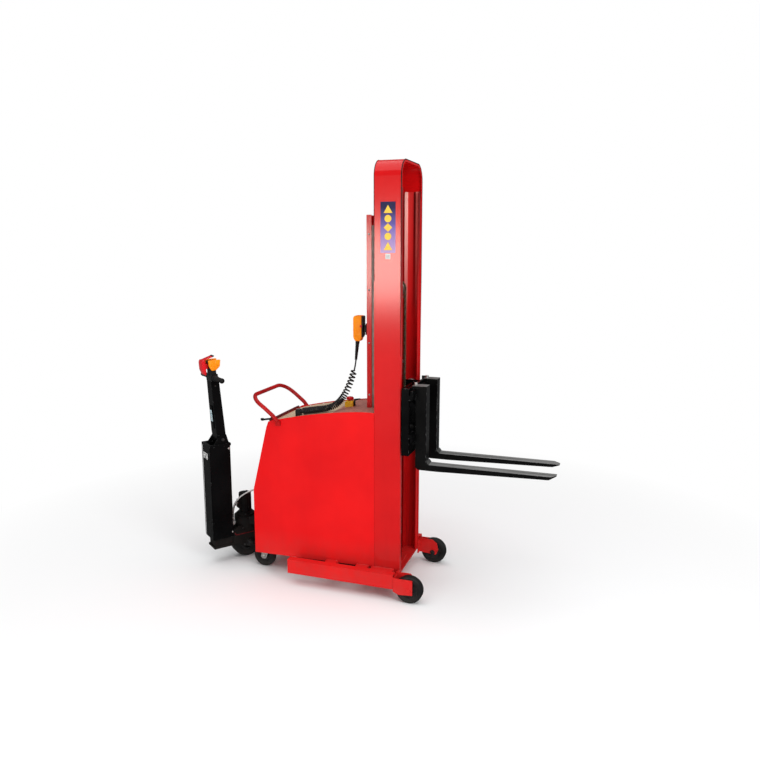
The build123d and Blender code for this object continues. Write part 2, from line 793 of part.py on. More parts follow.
def tiller_head():
    """Head casting with the cross bar for the two grips and the tower for the controls."""
    base = block(-25, 23, -32, 32, ARM_LENGTH, ARM_LENGTH + 32)
    base = fillet(base.edges().filter_by(Axis.Z), 8)
    bar = disc_y(0, -BAR_HALF + 8, BAR_HALF - 8, BAR_UP, 9)
    arms = Part()
    for sign in (-1, 1):
        arms += round_bar((0, sign * 30, BAR_UP), (0, sign * 62, BAR_UP), 14, 11)
    tower = block(-20, 20, -19, 19, ARM_LENGTH + 32, 438)
    tower = fillet(tower.edges().filter_by(Axis.Z), 6)
    tower -= block(-21, -9, -10.5, 10.5, 395, 425)
    shaft = disc_y(2, -34, 34, 412, 7)
    return TILLER * (base + bar + arms + tower + shaft)


def handle_grips():
    group = Part()
    for sign in (-1, 1):
        grip = disc_y(0, sign * 64, sign * BAR_HALF, BAR_UP, GRIP_R)
        group += grip - disc_y(0, sign * 60, sign * (BAR_HALF - 8), BAR_UP, 9 + 0.02)
    return TILLER * group


def throttle_wings():
    """Two finger paddles on one shaft, one each side of the tower."""
    group = Part()
    for sign in (-1, 1):
        y0 = min(sign * 20, sign * 36)
        y1 = max(sign * 20, sign * 36)
        wing = plate_xz([(-24, 444), (44, 440), (37, 404), (14, 386), (-10, 386), (-22, 410)], y0, y1)
        group += wing - disc_y(2, y0 - 1, y1 + 1, 412, 7 + RUN_FIT)
    return TILLER * group


def belly_switch():
    """Red reversing pad on the operator's side, with a flange over the head's top."""
    pad = plate_xz(
        [
            (-58, 434),
            (-50, 449),
            (-39, 447),
            (-39, 384),
            (-42, 366),
            (-49, 370),
            (-58, 396),
        ],
        -28,
        28,
    )
    flange = plate_xz([(-52, 443), (-50, 449), (24, 468), (26, 462)], -18, 18)
    plunger = block(-39, -20.5, -10, 10, 396, 424)
    return TILLER * (pad + flange + plunger)


# ---------------------------------------------------------------- guard, pendant, controls

def rear_guard():
    """Hat section behind the mast on a narrower spine, standing on the top plate."""
    foot_z = top_height(TOP_FRONT[0], COVER_RECESS)
    web = block(GUARD_X0, GUARD_X0 + 3, -GUARD_HALF, GUARD_HALF, foot_z, GUARD_TOP)
    hat = web
    for sign in (-1, 1):
        y0 = min(sign * GUARD_HALF, sign * (GUARD_HALF - 3))
        y1 = max(sign * GUARD_HALF, sign * (GUARD_HALF - 3))
        hat += block(GUARD_X0, GUARD_X1, y0, y1, foot_z, GUARD_TOP)
    spine_top = GUARD_TOP - 38
    spine = block(GUARD_X0 + 3, -MAST_D, -22, 22, foot_z, spine_top)
    spine -= block(GUARD_X0 + 6, -MAST_D - 3, -19, 19, foot_z - 1, spine_top + 1)
    return hat + spine


def pendant_hook():
    """Slotted bracket on the guard that the pendant's tongue drops into."""
    x0 = GUARD_X0 - 17
    bracket = block(x0 + 6, GUARD_X0, -16, 16, 1318, 1376)
    bracket += block(x0, x0 + 6, -16, 16, 1318, 1376)
    slot = block(x0 + 2.5, x0 + 9, -11, 11, 1325, 1377)
    mouth = block(x0 - 1, x0 + 3, -7, 7, 1325, 1377)
    return bracket - slot - mouth


def pendant_housing():
    """Hand control with a tapered foot, a tongue on its back and a cord boot below."""
    taper = 20.0
    body = plate_xz(
        [
            (PENDANT_X0, PENDANT_Z0 + taper),
            (PENDANT_X0, PENDANT_Z1 - 8),
            (PENDANT_X0 + 8, PENDANT_Z1),
            (PENDANT_X1, PENDANT_Z1),
            (PENDANT_X1, PENDANT_Z0 + taper + 14),
            (PENDANT_X1 - 18, PENDANT_Z0),
            (PENDANT_X0 + 12, PENDANT_Z0),
        ],
        -PENDANT_HALF,
        PENDANT_HALF,
    )
    body = fillet(body.edges().filter_by(Axis.Y).sort_by(Axis.Z)[-3:], 3)
    neck = block(PENDANT_X1, -236, -6.4, 6.4, 1330, 1366)
    tongue = block(-236.6, -232, -10.4, 10.4, 1326, 1370)
    boot = round_bar((-300, 0, 1183.4), (-290, 0, PENDANT_Z0), 7.5, 11)
    for y in (-1, 1):
        seat = button_axis(y)
        body -= round_bar(seat[0], seat[1], 8 + RUN_FIT)
    return body + neck + tongue + boot


def button_axis(index):
    """Centre line of a pendant button's well in the rear face."""
    z = 1372 if index > 0 else 1338
    return (PENDANT_X0 - 1, 0, z), (PENDANT_X0 + 9, 0, z)


def pendant_button(index):
    seat = button_axis(index)
    z = seat[0][2]
    return round_bar((PENDANT_X0 - 4, 0, z), (PENDANT_X0 + 4, 0, z), 8.0)


def estop_base():
    z = top_height(-335, COVER_RECESS)
    foot = [(x, top_height(x, COVER_RECESS) + 0.2) for x in (-357, -313)]
    box = plate_xz(foot + [(-313, z + 26), (-357, z + 26)], -20, 20)
    collar = round_bar((-335, 0, z + 26), (-335, 0, z + 32), 18)
    well = round_bar((-335, 0, z + 12), (-335, 0, z + 33), 8.1)
    return box + collar - well


def estop_button():
    z = top_height(-335, COVER_RECESS)
    stem = round_bar((-335, 0, z + 20), (-335, 0, z + 40), 8)
    cap = round_bar((-335, 0, z + 38), (-335, 0, z + 52), 19)
    cap = fillet(cap.edges().filter_by(GeomType.CIRCLE).sort_by(Axis.Z)[-1:], 5)
    return stem + cap


def cord_gland():
    """Right-angle cord entry on the top cover, facing the mast."""
    x1, y, z = COIL_ROUTE[0]
    x0 = x1 - 2 * GLAND_HALF
    foot = [(x, top_height(x, COVER_RECESS) + 0.2) for x in (x0, x1)]
    top = z + GLAND_HALF
    body = plate_xz(foot + [(x1, top), (x0, top)], y - GLAND_HALF, y + GLAND_HALF)
    return fillet(body.edges().filter_by(Axis.Y).group_by(Axis.Z)[-1], 8)


def battery():
    case = block(-500, -200, -150, 150, FLOOR_Z + FLOOR_T, 400)
    lid = block(-504, -196, -154, 154, 400, 425)
    posts = Part()
    for y in (-80, 80):
        posts += round_bar((-350, y, 425), (-350, y, 445), 10)
    return case + lid + posts


def pump_unit():
    """Hydraulic power unit: reservoir, valve block and pump motor."""
    tank = block(-780, -560, -120, 20, FLOOR_Z + FLOOR_T, 360)
    valve = block(-740, -640, -100, 0, 360, 410)
    motor = round_bar((-690, -50, 410), (-690, -50, 570), 52)
    return tank + valve + motor


def write_chassis():
    save("mast_shell", mast_shell())
    save_pair("mast_channel", mast_channel())
    save("mast_back_panel", mast_back_panel())
    save("mast_foot", mast_foot())
    save("lift_cylinder", lift_cylinder())
    save_pair("body_panel", side_panel())
    save("rear_cover", rear_cover())
    save("top_cover", top_cover())
    save("top_plate", top_plate())
    save("chassis_floor", chassis_floor())
    save("push_handle", push_handle())
    save_pair("side_rail", side_rail())
    save_pair("wheel_bracket", wheel_bracket())
    save("caster_plates", caster_plates())
    save("drive_mount", drive_mount())
    save("rear_guard", rear_guard())
    save("pendant_hook", pendant_hook())
    save("estop_base", estop_base())
    save("cord_gland", cord_gland())
    save("battery", battery())
    save("pump_unit", pump_unit())


def write_moving():
    save("rear_latch", rear_latch())
    wheel = roller_wheel(WHEEL_X, -WHEEL_Y, WHEEL_R, WHEEL_R, WHEEL_W, AXLE_R + RUN_FIT, 4)
    save_pair("front_wheel", wheel)
    save_pair("caster_fork", caster_fork())
    caster = roller_wheel(
        CASTER_X - CASTER_TRAIL, -CASTER_Y, CASTER_R, CASTER_R, CASTER_W, 6 + RUN_FIT, 4
    )
    save_pair("caster_wheel", caster)
    save("lift_rod", lift_rod())
    save("chain_sheave", chain_sheave())
    save("carriage_chain", chain_run(RAM_X + SHEAVE_R, CARRIAGE_CHAIN_Z, SHEAVE_Z))
    save("anchor_chain", chain_run(RAM_X - SHEAVE_R, ANCHOR_Z, SHEAVE_Z))
    save("carriage_frame", carriage_frame())
    for level, z in zip(("lower", "upper"), ROLLER_ZS):
        roller = roller_wheel(ROLLER_X, -ROLLER_Y, z, ROLLER_R, ROLLER_W - 1, STUB_R + RUN_FIT, 2)
        save("right_" + level + "_roller", roller)
        save("left_" + level + "_roller", mirrored(roller))
    save_pair("fork", fork())
    save("drive_housing", drive_housing())
    save("traction_motor", traction_motor())
    save("drive_tyre", drive_tyre())
    save("drive_hub", drive_hub())
    save("column_box", column_box())
    save("tiller_arm", tiller_arm())
    save("tiller_head", tiller_head())
    save("handle_grips", handle_grips())
    save("throttle_wings", throttle_wings())
    save("belly_switch", belly_switch())
    save("pendant_housing", pendant_housing())
    save("pendant_up_button", pendant_button(1))
    save("pendant_down_button", pendant_button(-1))
    save("estop_button", estop_button())


def write_cords():
    cord_tube("coil_cord", COIL_ROUTE, COIL_D)
    cord_tube("cord_lead", LEAD_ROUTE, LEAD_D)
    cord_tube("drive_cable", CABLE_ROUTE, CABLE_D)


write_chassis()
write_moving()
write_cords()
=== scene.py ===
import json
from math import cos, pi, radians, sin, sqrt, tau

import bmesh
import bpy
from mathutils import Matrix, Vector


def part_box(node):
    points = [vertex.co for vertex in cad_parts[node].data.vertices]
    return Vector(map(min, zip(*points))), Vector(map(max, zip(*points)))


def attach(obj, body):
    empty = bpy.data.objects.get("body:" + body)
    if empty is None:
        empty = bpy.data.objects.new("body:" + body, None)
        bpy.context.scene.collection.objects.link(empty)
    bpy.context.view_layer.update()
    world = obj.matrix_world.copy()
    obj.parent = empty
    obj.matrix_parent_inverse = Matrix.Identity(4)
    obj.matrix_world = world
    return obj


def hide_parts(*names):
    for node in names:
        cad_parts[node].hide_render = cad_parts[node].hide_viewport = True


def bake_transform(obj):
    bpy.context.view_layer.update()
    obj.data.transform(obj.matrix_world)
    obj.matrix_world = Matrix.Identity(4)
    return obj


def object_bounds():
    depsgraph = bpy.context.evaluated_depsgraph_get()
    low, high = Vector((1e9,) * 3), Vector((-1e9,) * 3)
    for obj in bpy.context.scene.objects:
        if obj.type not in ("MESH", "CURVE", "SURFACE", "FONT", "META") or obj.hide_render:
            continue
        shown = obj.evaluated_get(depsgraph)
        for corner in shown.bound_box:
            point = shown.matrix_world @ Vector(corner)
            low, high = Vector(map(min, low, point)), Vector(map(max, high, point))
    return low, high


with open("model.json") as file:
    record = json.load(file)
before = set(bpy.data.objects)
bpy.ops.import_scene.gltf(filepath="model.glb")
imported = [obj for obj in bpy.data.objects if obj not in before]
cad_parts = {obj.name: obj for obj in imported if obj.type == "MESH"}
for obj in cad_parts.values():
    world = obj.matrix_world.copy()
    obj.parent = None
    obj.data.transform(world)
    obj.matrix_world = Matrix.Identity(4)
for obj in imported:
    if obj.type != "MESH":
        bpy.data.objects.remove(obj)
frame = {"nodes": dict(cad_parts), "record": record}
CAD_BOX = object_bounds()
NODES = frame["nodes"]

# Shapes are given in millimetres from the mast's front face, as the CAD source does, and
# these matrices put them in the row frame: the chassis, the steered unit and the tiller.
MM = 0.001
FRONT_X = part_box("mast_shell")[1].x
STEER_X = -990
STEER_ANGLE = radians(53)
PIVOT_X, PIVOT_Z = -139, 722
TILLER_LEAN = radians(-4)
SHEAVE_X, SHEAVE_Z = -70, 1560
MOVE = Matrix.Translation
ROW = MOVE((FRONT_X, 0, 0)) @ Matrix.Scale(MM, 4)
STEER = ROW @ MOVE((STEER_X, 0, 0)) @ Matrix.Rotation(STEER_ANGLE, 4, "Z")
TILLER = STEER @ MOVE((PIVOT_X, 0, PIVOT_Z)) @ Matrix.Rotation(TILLER_LEAN, 4, "Y")
PLACES = {"steer_unit": STEER, "tiller": TILLER, "throttle": TILLER, "reverse_switch": TILLER}
SIDES = (-1, 1)
NAMED_SIDES = (("right", -1), ("left", 1))
UP = (0, 0, 1)
ACROSS = (0, 1, 0)


def circle(count, radius, start=0):
    """Points evenly round a circle."""
    for k in range(count):
        a = tau * (k + start) / count
        yield radius * cos(a), radius * sin(a)


def add_to_scene(obj):
    bpy.context.scene.collection.objects.link(obj)


def row(*point):
    """A point given in millimetres, in the row frame."""
    return ROW @ Vector(point)


# ---------------- materials

M = {}  # every finished material by the name it was asked for


def grey(value):
    return value, value, value


class Finish:
    """One procedural material: a Principled shader and the nodes that feed it."""

    def __init__(self, name, metallic=0, coat=0, coat_rough=0.1, specular=0.5):
        self.name = name
        self.material = bpy.data.materials.new(name)
        self.material.use_nodes = True
        self.tree = self.material.node_tree
        self.shader = self.tree.nodes["Principled BSDF"]
        for socket, value in (
            ("Metallic", metallic),
            ("Coat Weight", coat),
            ("Coat Roughness", coat_rough),
            ("Specular IOR Level", specular),
        ):
            self.shader.inputs[socket].default_value = value
        self.place = self.add("ShaderNodeTexCoord").outputs["Object"]

    def add(self, kind, inputs=None, **settings):
        """A new node, with values or links for its inputs by name or number."""
        node = self.tree.nodes.new(kind)
        for key, value in settings.items():
            setattr(node, key, value)
        for key, value in (inputs or {}).items():
            self.join(value, node.inputs[key])
        return node

    def join(self, value, socket):
        if isinstance(value, bpy.types.NodeSocket):
            self.tree.links.new(value, socket)
        else:
            socket.default_value = value

    def noise(self, scale, detail=3, stretch=None):
        where = self.place
        if stretch:
            mapping = self.add("ShaderNodeMapping", {"Vector": where, "Scale": stretch})
            where = mapping.outputs["Vector"]
        noise = self.add("ShaderNodeTexNoise", {"Vector": where, "Scale": scale, "Detail": detail})
        return noise.outputs["Fac"]

    def part(self, axis, vector=None):
        """One component of a vector, which is the place on the object unless given."""
        split = self.add("ShaderNodeSeparateXYZ", {0: self.place if vector is None else vector})
        return split.outputs[axis]

    def remap(self, value, low, high, to_low=0, to_high=1):
        inputs = dict(enumerate((value, low, high, to_low, to_high)))
        return self.add("ShaderNodeMapRange", inputs).outputs["Result"]

    def patches(self, scale, to_low, to_high, detail=3, stretch=None):
        return self.remap(self.noise(scale, detail, stretch), 0.3, 0.7, to_low, to_high)

    def maths(self, operation, a, b):
        return self.add("ShaderNodeMath", {0: a, 1: b}, operation=operation).outputs[0]

    def times(self, a, b):
        return self.maths("MULTIPLY", a, b)

    def plus(self, a, b):
        return self.maths("ADD", a, b)

    def mix(self, share, a, b):
        a, b = (c if isinstance(c, bpy.types.NodeSocket) else (*c, 1) for c in (a, b))
        return self.add("ShaderNodeMix", {0: share, 6: a, 7: b}, data_type="RGBA").outputs[2]

    def rounded(self, radius):
        """A normal that rounds sharp edges, and how near a surface point is to such an edge."""
        soft = self.add("ShaderNodeBevel", {"Radius": radius}, samples=4).outputs["Normal"]
        flat = self.add("ShaderNodeNewGeometry").outputs["Normal"]
        facing = self.add("ShaderNodeVectorMath", {0: soft, 1: flat}, operation="DOT_PRODUCT")
        return soft, self.remap(facing.outputs["Value"], 0.995, 0.86)

    def finish(self, colour, rough, relief=None, strength=0.1, depth=0.0005, normal=None):
        self.join(colour, self.shader.inputs["Base Color"])
        self.join(rough, self.shader.inputs["Roughness"])
        if relief is not None:
            inputs = {"Strength": strength, "Distance": depth, "Height": relief}
            if normal is not None:
                inputs["Normal"] = normal
            normal = self.add("ShaderNodeBump", inputs).outputs["Normal"]
        if normal is not None:
            self.join(normal, self.shader.inputs["Normal"])
        M[self.name] = self.material


def coating(
    name, base, other, patch=6, rough=(0.3, 0.4), grain=700, strength=0.08, depth=0.0004,
    edge=0.0014, chip=None, chips=0.45, dirt=None, speck=None, stretch=None, smear=0, **shader
):
    """A paint, plastic, rubber or metal: patchy, finely rough, worn at edges, dirty below."""
    f = Finish(name, **shader)
    blotch = f.remap(f.noise(patch, 4, stretch), 0.35, 0.65)
    colour = f.mix(blotch, base, other)
    roughness = f.patches(patch * 3.1, *rough, 5, stretch)
    if smear:
        streak = f.remap(f.noise(14, 6, (1, 1, 0.12)), 0.52, 0.75, 0, smear)
        colour = f.mix(streak, colour, tuple(0.35 * c for c in other))
    if speck:
        scale, speck_colour, threshold = speck
        dots = f.remap(f.noise(scale, 2), threshold, threshold + 0.06)
        colour = f.mix(dots, colour, speck_colour)
    if dirt:
        dirt_colour, top, amount = dirt
        low = f.remap(f.part("Z"), 0.02, top, amount, 0)
        colour = f.mix(f.times(low, f.noise(24, 5)), colour, dirt_colour)
    normal, near = f.rounded(edge)
    if chip:
        worn = f.times(near, f.remap(f.noise(55, 6), 1 - chips, 1.08 - chips))
        colour = f.mix(worn, colour, chip)
        roughness = f.plus(roughness, f.times(worn, 0.15))
    relief = f.plus(f.noise(grain, 2, stretch), f.times(f.noise(patch * 9, 3), 0.6))
    f.finish(colour, roughness, relief, strength, depth, normal)


RED = (0.76, 0.0062, 0.0075)
RED_DEEP = (0.66, 0.0045, 0.0065)
BLACK = (0.002, 0.002, 0.0022)
SCUFF = grey(0.33)
DUST = (0.16, 0.12, 0.1)
PRIMER = (0.16, 0.012, 0.012)

coating(
    "body_paint", RED, RED_DEEP, 3, (0.28, 0.4), 900, 0.05, coat=0.05, coat_rough=0.15,
    specular=0.09, chip=PRIMER, chips=0.4, dirt=(DUST, 0.26, 0.35), smear=0.06,
)
# The mast's red is a darker copy of the body's red: painted shade on the mast.
coating(
    "mast_paint", (0.62, 0.0055, 0.0065), (0.54, 0.0042, 0.0058), 2.6, (0.27, 0.37), 900, 0.05,
    coat=0.6, coat_rough=0.17, specular=0.03, chip=(0.06, 0.02, 0.018), chips=0.42,
    dirt=(DUST, 0.3, 0.3), smear=0.1,
)
coating(
    "black_paint", BLACK, (0.0038, 0.0038, 0.004), 5, (0.18, 0.34), 800, 0.1,
    chip=SCUFF, chips=0.42, smear=0.2, specular=0.06,
)
coating(
    "drive_black", (0.0035, 0.0035, 0.004), (0.009, 0.0085, 0.008), 14, (0.4, 0.6), 420,
    0.25, 0.0007, chip=grey(0.14), chips=0.4, dirt=(DUST, 0.3, 0.12), specular=0.1,
)
coating(
    "top_board", (0.5, 0.36, 0.23), (0.6, 0.46, 0.31), 12, (0.55, 0.75), 500, 0.3,
    0.0006, speck=(320, (0.24, 0.15, 0.09), 0.6), chip=(0.7, 0.6, 0.45), chips=0.4,
)
coating(
    "bare_steel", (0.42, 0.41, 0.4), (0.56, 0.55, 0.54), 30, (0.28, 0.46), 900, 0.12,
    metallic=1, stretch=(1, 1, 0.15),
)
coating(
    "chain_steel", (0.2, 0.17, 0.1), (0.1, 0.085, 0.05), 60, (0.32, 0.5), 900, 0.15,
    edge=0.0006, chip=(0.42, 0.4, 0.34), chips=0.5, metallic=0.85,
)
coating(
    "ram_chrome", (0.66, 0.66, 0.67), (0.72, 0.72, 0.73), 8, (0.08, 0.16), 1200, 0.03,
    metallic=1, stretch=(1, 1, 0.2),
)
coating(
    "zinc", (0.62, 0.61, 0.57), (0.74, 0.74, 0.72), 45, (0.3, 0.45), 700, 0.12,
    chip=grey(0.85), chips=0.5, metallic=0.75, dirt=(DUST, 0.12, 0.3),
)
coating(
    "wheel_rubber", (0.006, 0.006, 0.0065), (0.014, 0.0135, 0.013), 18, (0.45, 0.65), 600,
    0.3, 0.0005, chip=(0.05, 0.048, 0.045), chips=0.5, dirt=((0.09, 0.08, 0.07), 0.07, 0.3),
    specular=0.25,
)
coating(
    "hub_iron", (0.022, 0.022, 0.023), (0.045, 0.044, 0.043), 40, (0.45, 0.6), 500, 0.35,
    0.0006, metallic=0.5, chip=grey(0.2), chips=0.45, specular=0.25,
)
coating(
    "grip_rubber", grey(0.006), grey(0.011), 30, (0.5, 0.65), 1400,
    0.3, 0.0003, edge=0.0006, specular=0.2,
)
coating(
    "head_plastic", (0.006, 0.006, 0.0065), (0.012, 0.012, 0.0125), 12, (0.35, 0.5), 1600,
    0.25, 0.0002, chip=grey(0.07), chips=0.4, specular=0.22,
)
coating(
    "orange_plastic", (1, 0.31, 0.01), (0.96, 0.25, 0.007), 20, (0.32, 0.45), 1500,
    0.2, 0.0002, chip=(1, 0.46, 0.18), chips=0.45, specular=0.08,
)
coating(
    "red_plastic", (0.7, 0.01, 0.016), (0.58, 0.007, 0.012), 20, (0.2, 0.32), 1500,
    0.12, 0.0002, coat=0.25, coat_rough=0.1, specular=0.15, chip=(0.8, 0.16, 0.14), chips=0.4,
)
coating(
    "yellow_plastic", (0.93, 0.55, 0.022), (0.85, 0.47, 0.015), 25, (0.35, 0.5), 1500,
    0.2, 0.0002, chip=(0.95, 0.75, 0.3), chips=0.45, specular=0.25,
)
coating(
    "cord_black", (0.005, 0.005, 0.0055), grey(0.01), 40, (0.28, 0.42), 1200,
    0.15, 0.0002, edge=0.0004, specular=0.3,
)
coating(
    "cable_grey", (0.52, 0.52, 0.51), (0.62, 0.62, 0.61), 30, (0.4, 0.55), 1000, 0.15,
    0.0002, edge=0.0004,
)
coating(
    "battery_case", (0.02, 0.02, 0.022), (0.035, 0.035, 0.036), 10, (0.5, 0.65), 700, 0.3,
)
coating(
    "pump_alloy", (0.38, 0.38, 0.4), (0.5, 0.5, 0.51), 25, (0.4, 0.6), 500, 0.35,
    0.0006, metallic=0.8,
)
coating(
    "dark_red", (0.13, 0.006, 0.008), (0.08, 0.005, 0.006), 30, (0.4, 0.55), 900, 0.15,
    chip=(0.2, 0.05, 0.05), chips=0.4, specular=0.2,
)
coating(
    "edge_trim", (0.012, 0.006, 0.006), (0.035, 0.01, 0.01), 20, (0.45, 0.6), 600, 0.3,
    chip=(0.1, 0.03, 0.03), chips=0.5, specular=0.2,
)
for label in (
    ("label_white", (0.78, 0.78, 0.76), (0.66, 0.66, 0.64), 60, (0.35, 0.5)),
    ("label_blue", (0.36, 0.5, 0.55), (0.48, 0.6, 0.63), 50, (0.3, 0.45)),
    ("label_ink", (0.05, 0.05, 0.06), (0.09, 0.09, 0.1), 60, (0.4, 0.5)),
    ("mark_yellow", (0.9, 0.56, 0.03), (0.8, 0.46, 0.02), 60, (0.35, 0.5)),
):
    coating(*label, 900, 0.05)
coating(
    "galvanised", (0.2, 0.165, 0.145), (0.3, 0.245, 0.215), 40, (0.42, 0.6), 700, 0.15,
    metallic=0.45, smear=0.4,
)


def tread_plate():
    """Worn non-slip plate: raised lozenges in two directions, with grime between them."""
    f = Finish("tread_plate", specular=0.4)
    tall = 0
    for turn in (45, -45):
        turned = {"Vector": f.place, "Rotation": (0, 0, radians(turn)), "Scale": (42, 120, 1)}
        where = f.add("ShaderNodeMapping", turned).outputs["Vector"]
        grid = {"Vector": where, "Randomness": 0, "Scale": 1}
        cells = f.add("ShaderNodeTexVoronoi", grid, voronoi_dimensions="2D")
        tall = f.plus(f.remap(cells.outputs["Distance"], 0.42, 0.24), tall)
    grime = f.remap(f.noise(60, 5), 0.35, 0.7)
    colour = f.mix(grime, (0.2, 0.055, 0.042), (0.48, 0.16, 0.12))
    colour = f.mix(f.times(tall, 0.55), colour, (0.55, 0.25, 0.2))
    normal, _ = f.rounded(0.0014)
    rough = f.patches(90, 0.42, 0.65, 4)
    relief = f.plus(tall, f.times(f.noise(500), 0.2))
    f.finish(colour, rough, relief, 0.5, 0.0012, normal)


def fork_paint():
    """Black forks whose upper faces are pale grey: partly rubbed to bare grey by loads, partly a
    painted highlight of light on the tops.
    """
    f = Finish("fork_paint", specular=0.08)
    normal, near = f.rounded(0.0016)
    facing = f.add("ShaderNodeNewGeometry").outputs["Normal"]
    lit_and_worn_top = f.remap(f.part("Z", facing), 0.6, 0.95)
    scratches = f.remap(f.noise(9, 8, (0.25, 6, 1)), 0.3, 0.62, 0.35, 1)
    colour = f.mix(f.remap(f.noise(6, 4), 0.35, 0.65), BLACK, grey(0.005))
    # Upward faces painted pale: wear, and a painted highlight where light falls on the tops.
    colour = f.mix(f.times(lit_and_worn_top, scratches), colour, (0.24, 0.24, 0.236))
    worn = f.times(near, f.remap(f.noise(45, 6), 0.5, 0.6))
    colour = f.mix(worn, colour, SCUFF)
    rough = f.plus(f.patches(18, 0.25, 0.4, 5), f.times(lit_and_worn_top, 0.15))
    f.finish(colour, rough, f.noise(700), 0.12, 0.0004, normal)


def handle_paint():
    """The push handle's deep glossy red, darker in random patches."""
    f = Finish("handle_paint", coat=0.3, coat_rough=0.3, specular=0.02)
    darker_patches = f.remap(f.noise(9, 4), 0.4, 0.65)
    colour = f.mix(darker_patches, (0.42, 0.004, 0.005), (0.22, 0.004, 0.005))
    scuffs = f.remap(f.noise(70, 6), 0.66, 0.74, 0, 0.4)
    colour = f.mix(scuffs, colour, (0.1, 0.012, 0.01))
    normal, _ = f.rounded(0.001)
    rough = f.patches(22, 0.28, 0.42)
    f.finish(colour, rough, f.noise(800), 0.06, 0.0004, normal)


def decal_painted_sheen():
    """Navy vinyl that fades to lilac at its foot; the lilac is a painted reflection of the pink
    sheen.
    """
    f = Finish("decal_painted_sheen", coat=0.12, coat_rough=0.22, specular=0.08)
    z = f.plus(f.part("Z"), f.times(f.noise(30, 3), 0.02))
    upper = f.mix(f.remap(z, 1.86, 1.955), (0.115, 0.085, 0.36), (0.01, 0.008, 0.055))
    # The lilac below about 1.85 m is painted sheen over the navy, not the vinyl's own colour.
    colour = f.mix(f.remap(z, 1.75, 1.88), (0.42, 0.27, 0.5), upper)
    f.finish(colour, f.patches(40, 0.3, 0.42), f.noise(700), 0.05)


def channel_paint():
    """The mast channels' red, with bands of painted highlight and painted shade across them,
    fullest towards the top.
    """
    f = Finish("channel_paint", coat=0.2, coat_rough=0.2, specular=0.1)
    across = f.remap(f.part("X"), FRONT_X - 0.082, FRONT_X - 0.002)
    ramp = f.add("ShaderNodeValToRGB", {0: across})
    stops = ramp.color_ramp.elements
    stops[0].position, stops[0].color = 0, (0.3, 0.006, 0.007, 1)
    stops[1].position, stops[1].color = 1, (0.1, 0.006, 0.006, 1)
    # The pale stops are painted highlights on the flanges and web; the darkest stops are painted
    # shade.
    for at, *colour in (
        (0.055, 1, 0.6, 0.54), (0.095, 1, 0.6, 0.54), (0.14, 0.74, 0.045, 0.042),
        (0.47, 0.66, 0.03, 0.03), (0.53, 0.1, 0.004, 0.004), (0.62, 0.14, 0.005, 0.005),
        (0.66, 0.85, 0.26, 0.23), (0.86, 0.9, 0.32, 0.29), (0.92, 0.2, 0.008, 0.008),
    ):
        stops.new(at).color = (*colour, 1)
    blotch = f.remap(f.noise(3, 4), 0.35, 0.65)
    plain = f.mix(blotch, (0.62, 0.007, 0.008), (0.5, 0.005, 0.006))
    # The painted bands of highlight and shade show from 1.5 m up, fullest at the top.
    high = f.remap(f.plus(f.part("Z"), f.times(f.noise(5), 0.25)), 1.5, 2.02)
    colour = f.mix(high, plain, ramp.outputs["Color"])
    streak = f.remap(f.noise(16, 6, (3, 3, 0.1)), 0.5, 0.75, 0, 0.5)
    colour = f.mix(streak, colour, (0.09, 0.01, 0.01))
    normal, _ = f.rounded(0.002)
    rough = f.patches(20, 0.3, 0.45)
    f.finish(colour, rough, f.noise(600), 0.08, 0.0004, normal)


tread_plate()
fork_paint()
handle_paint()
decal_painted_sheen()
channel_paint()


# ---------------- shapes

SMOOTH_BELOW = 38


def mirrored(half):
    """A lathe's profile from its upper half."""
    return [(r, -h) for r, h in half] + half[::-1]


def carried(line, across):
    """The two directions across a line at each of its points, turning as little as possible."""
    last = len(line) - 1
    for i in range(len(line)):
        along = (line[min(i + 1, last)] - line[max(i - 1, 0)]).normalized()
        across = (across - along * across.dot(along)).normalized()
        yield across, along.cross(across)


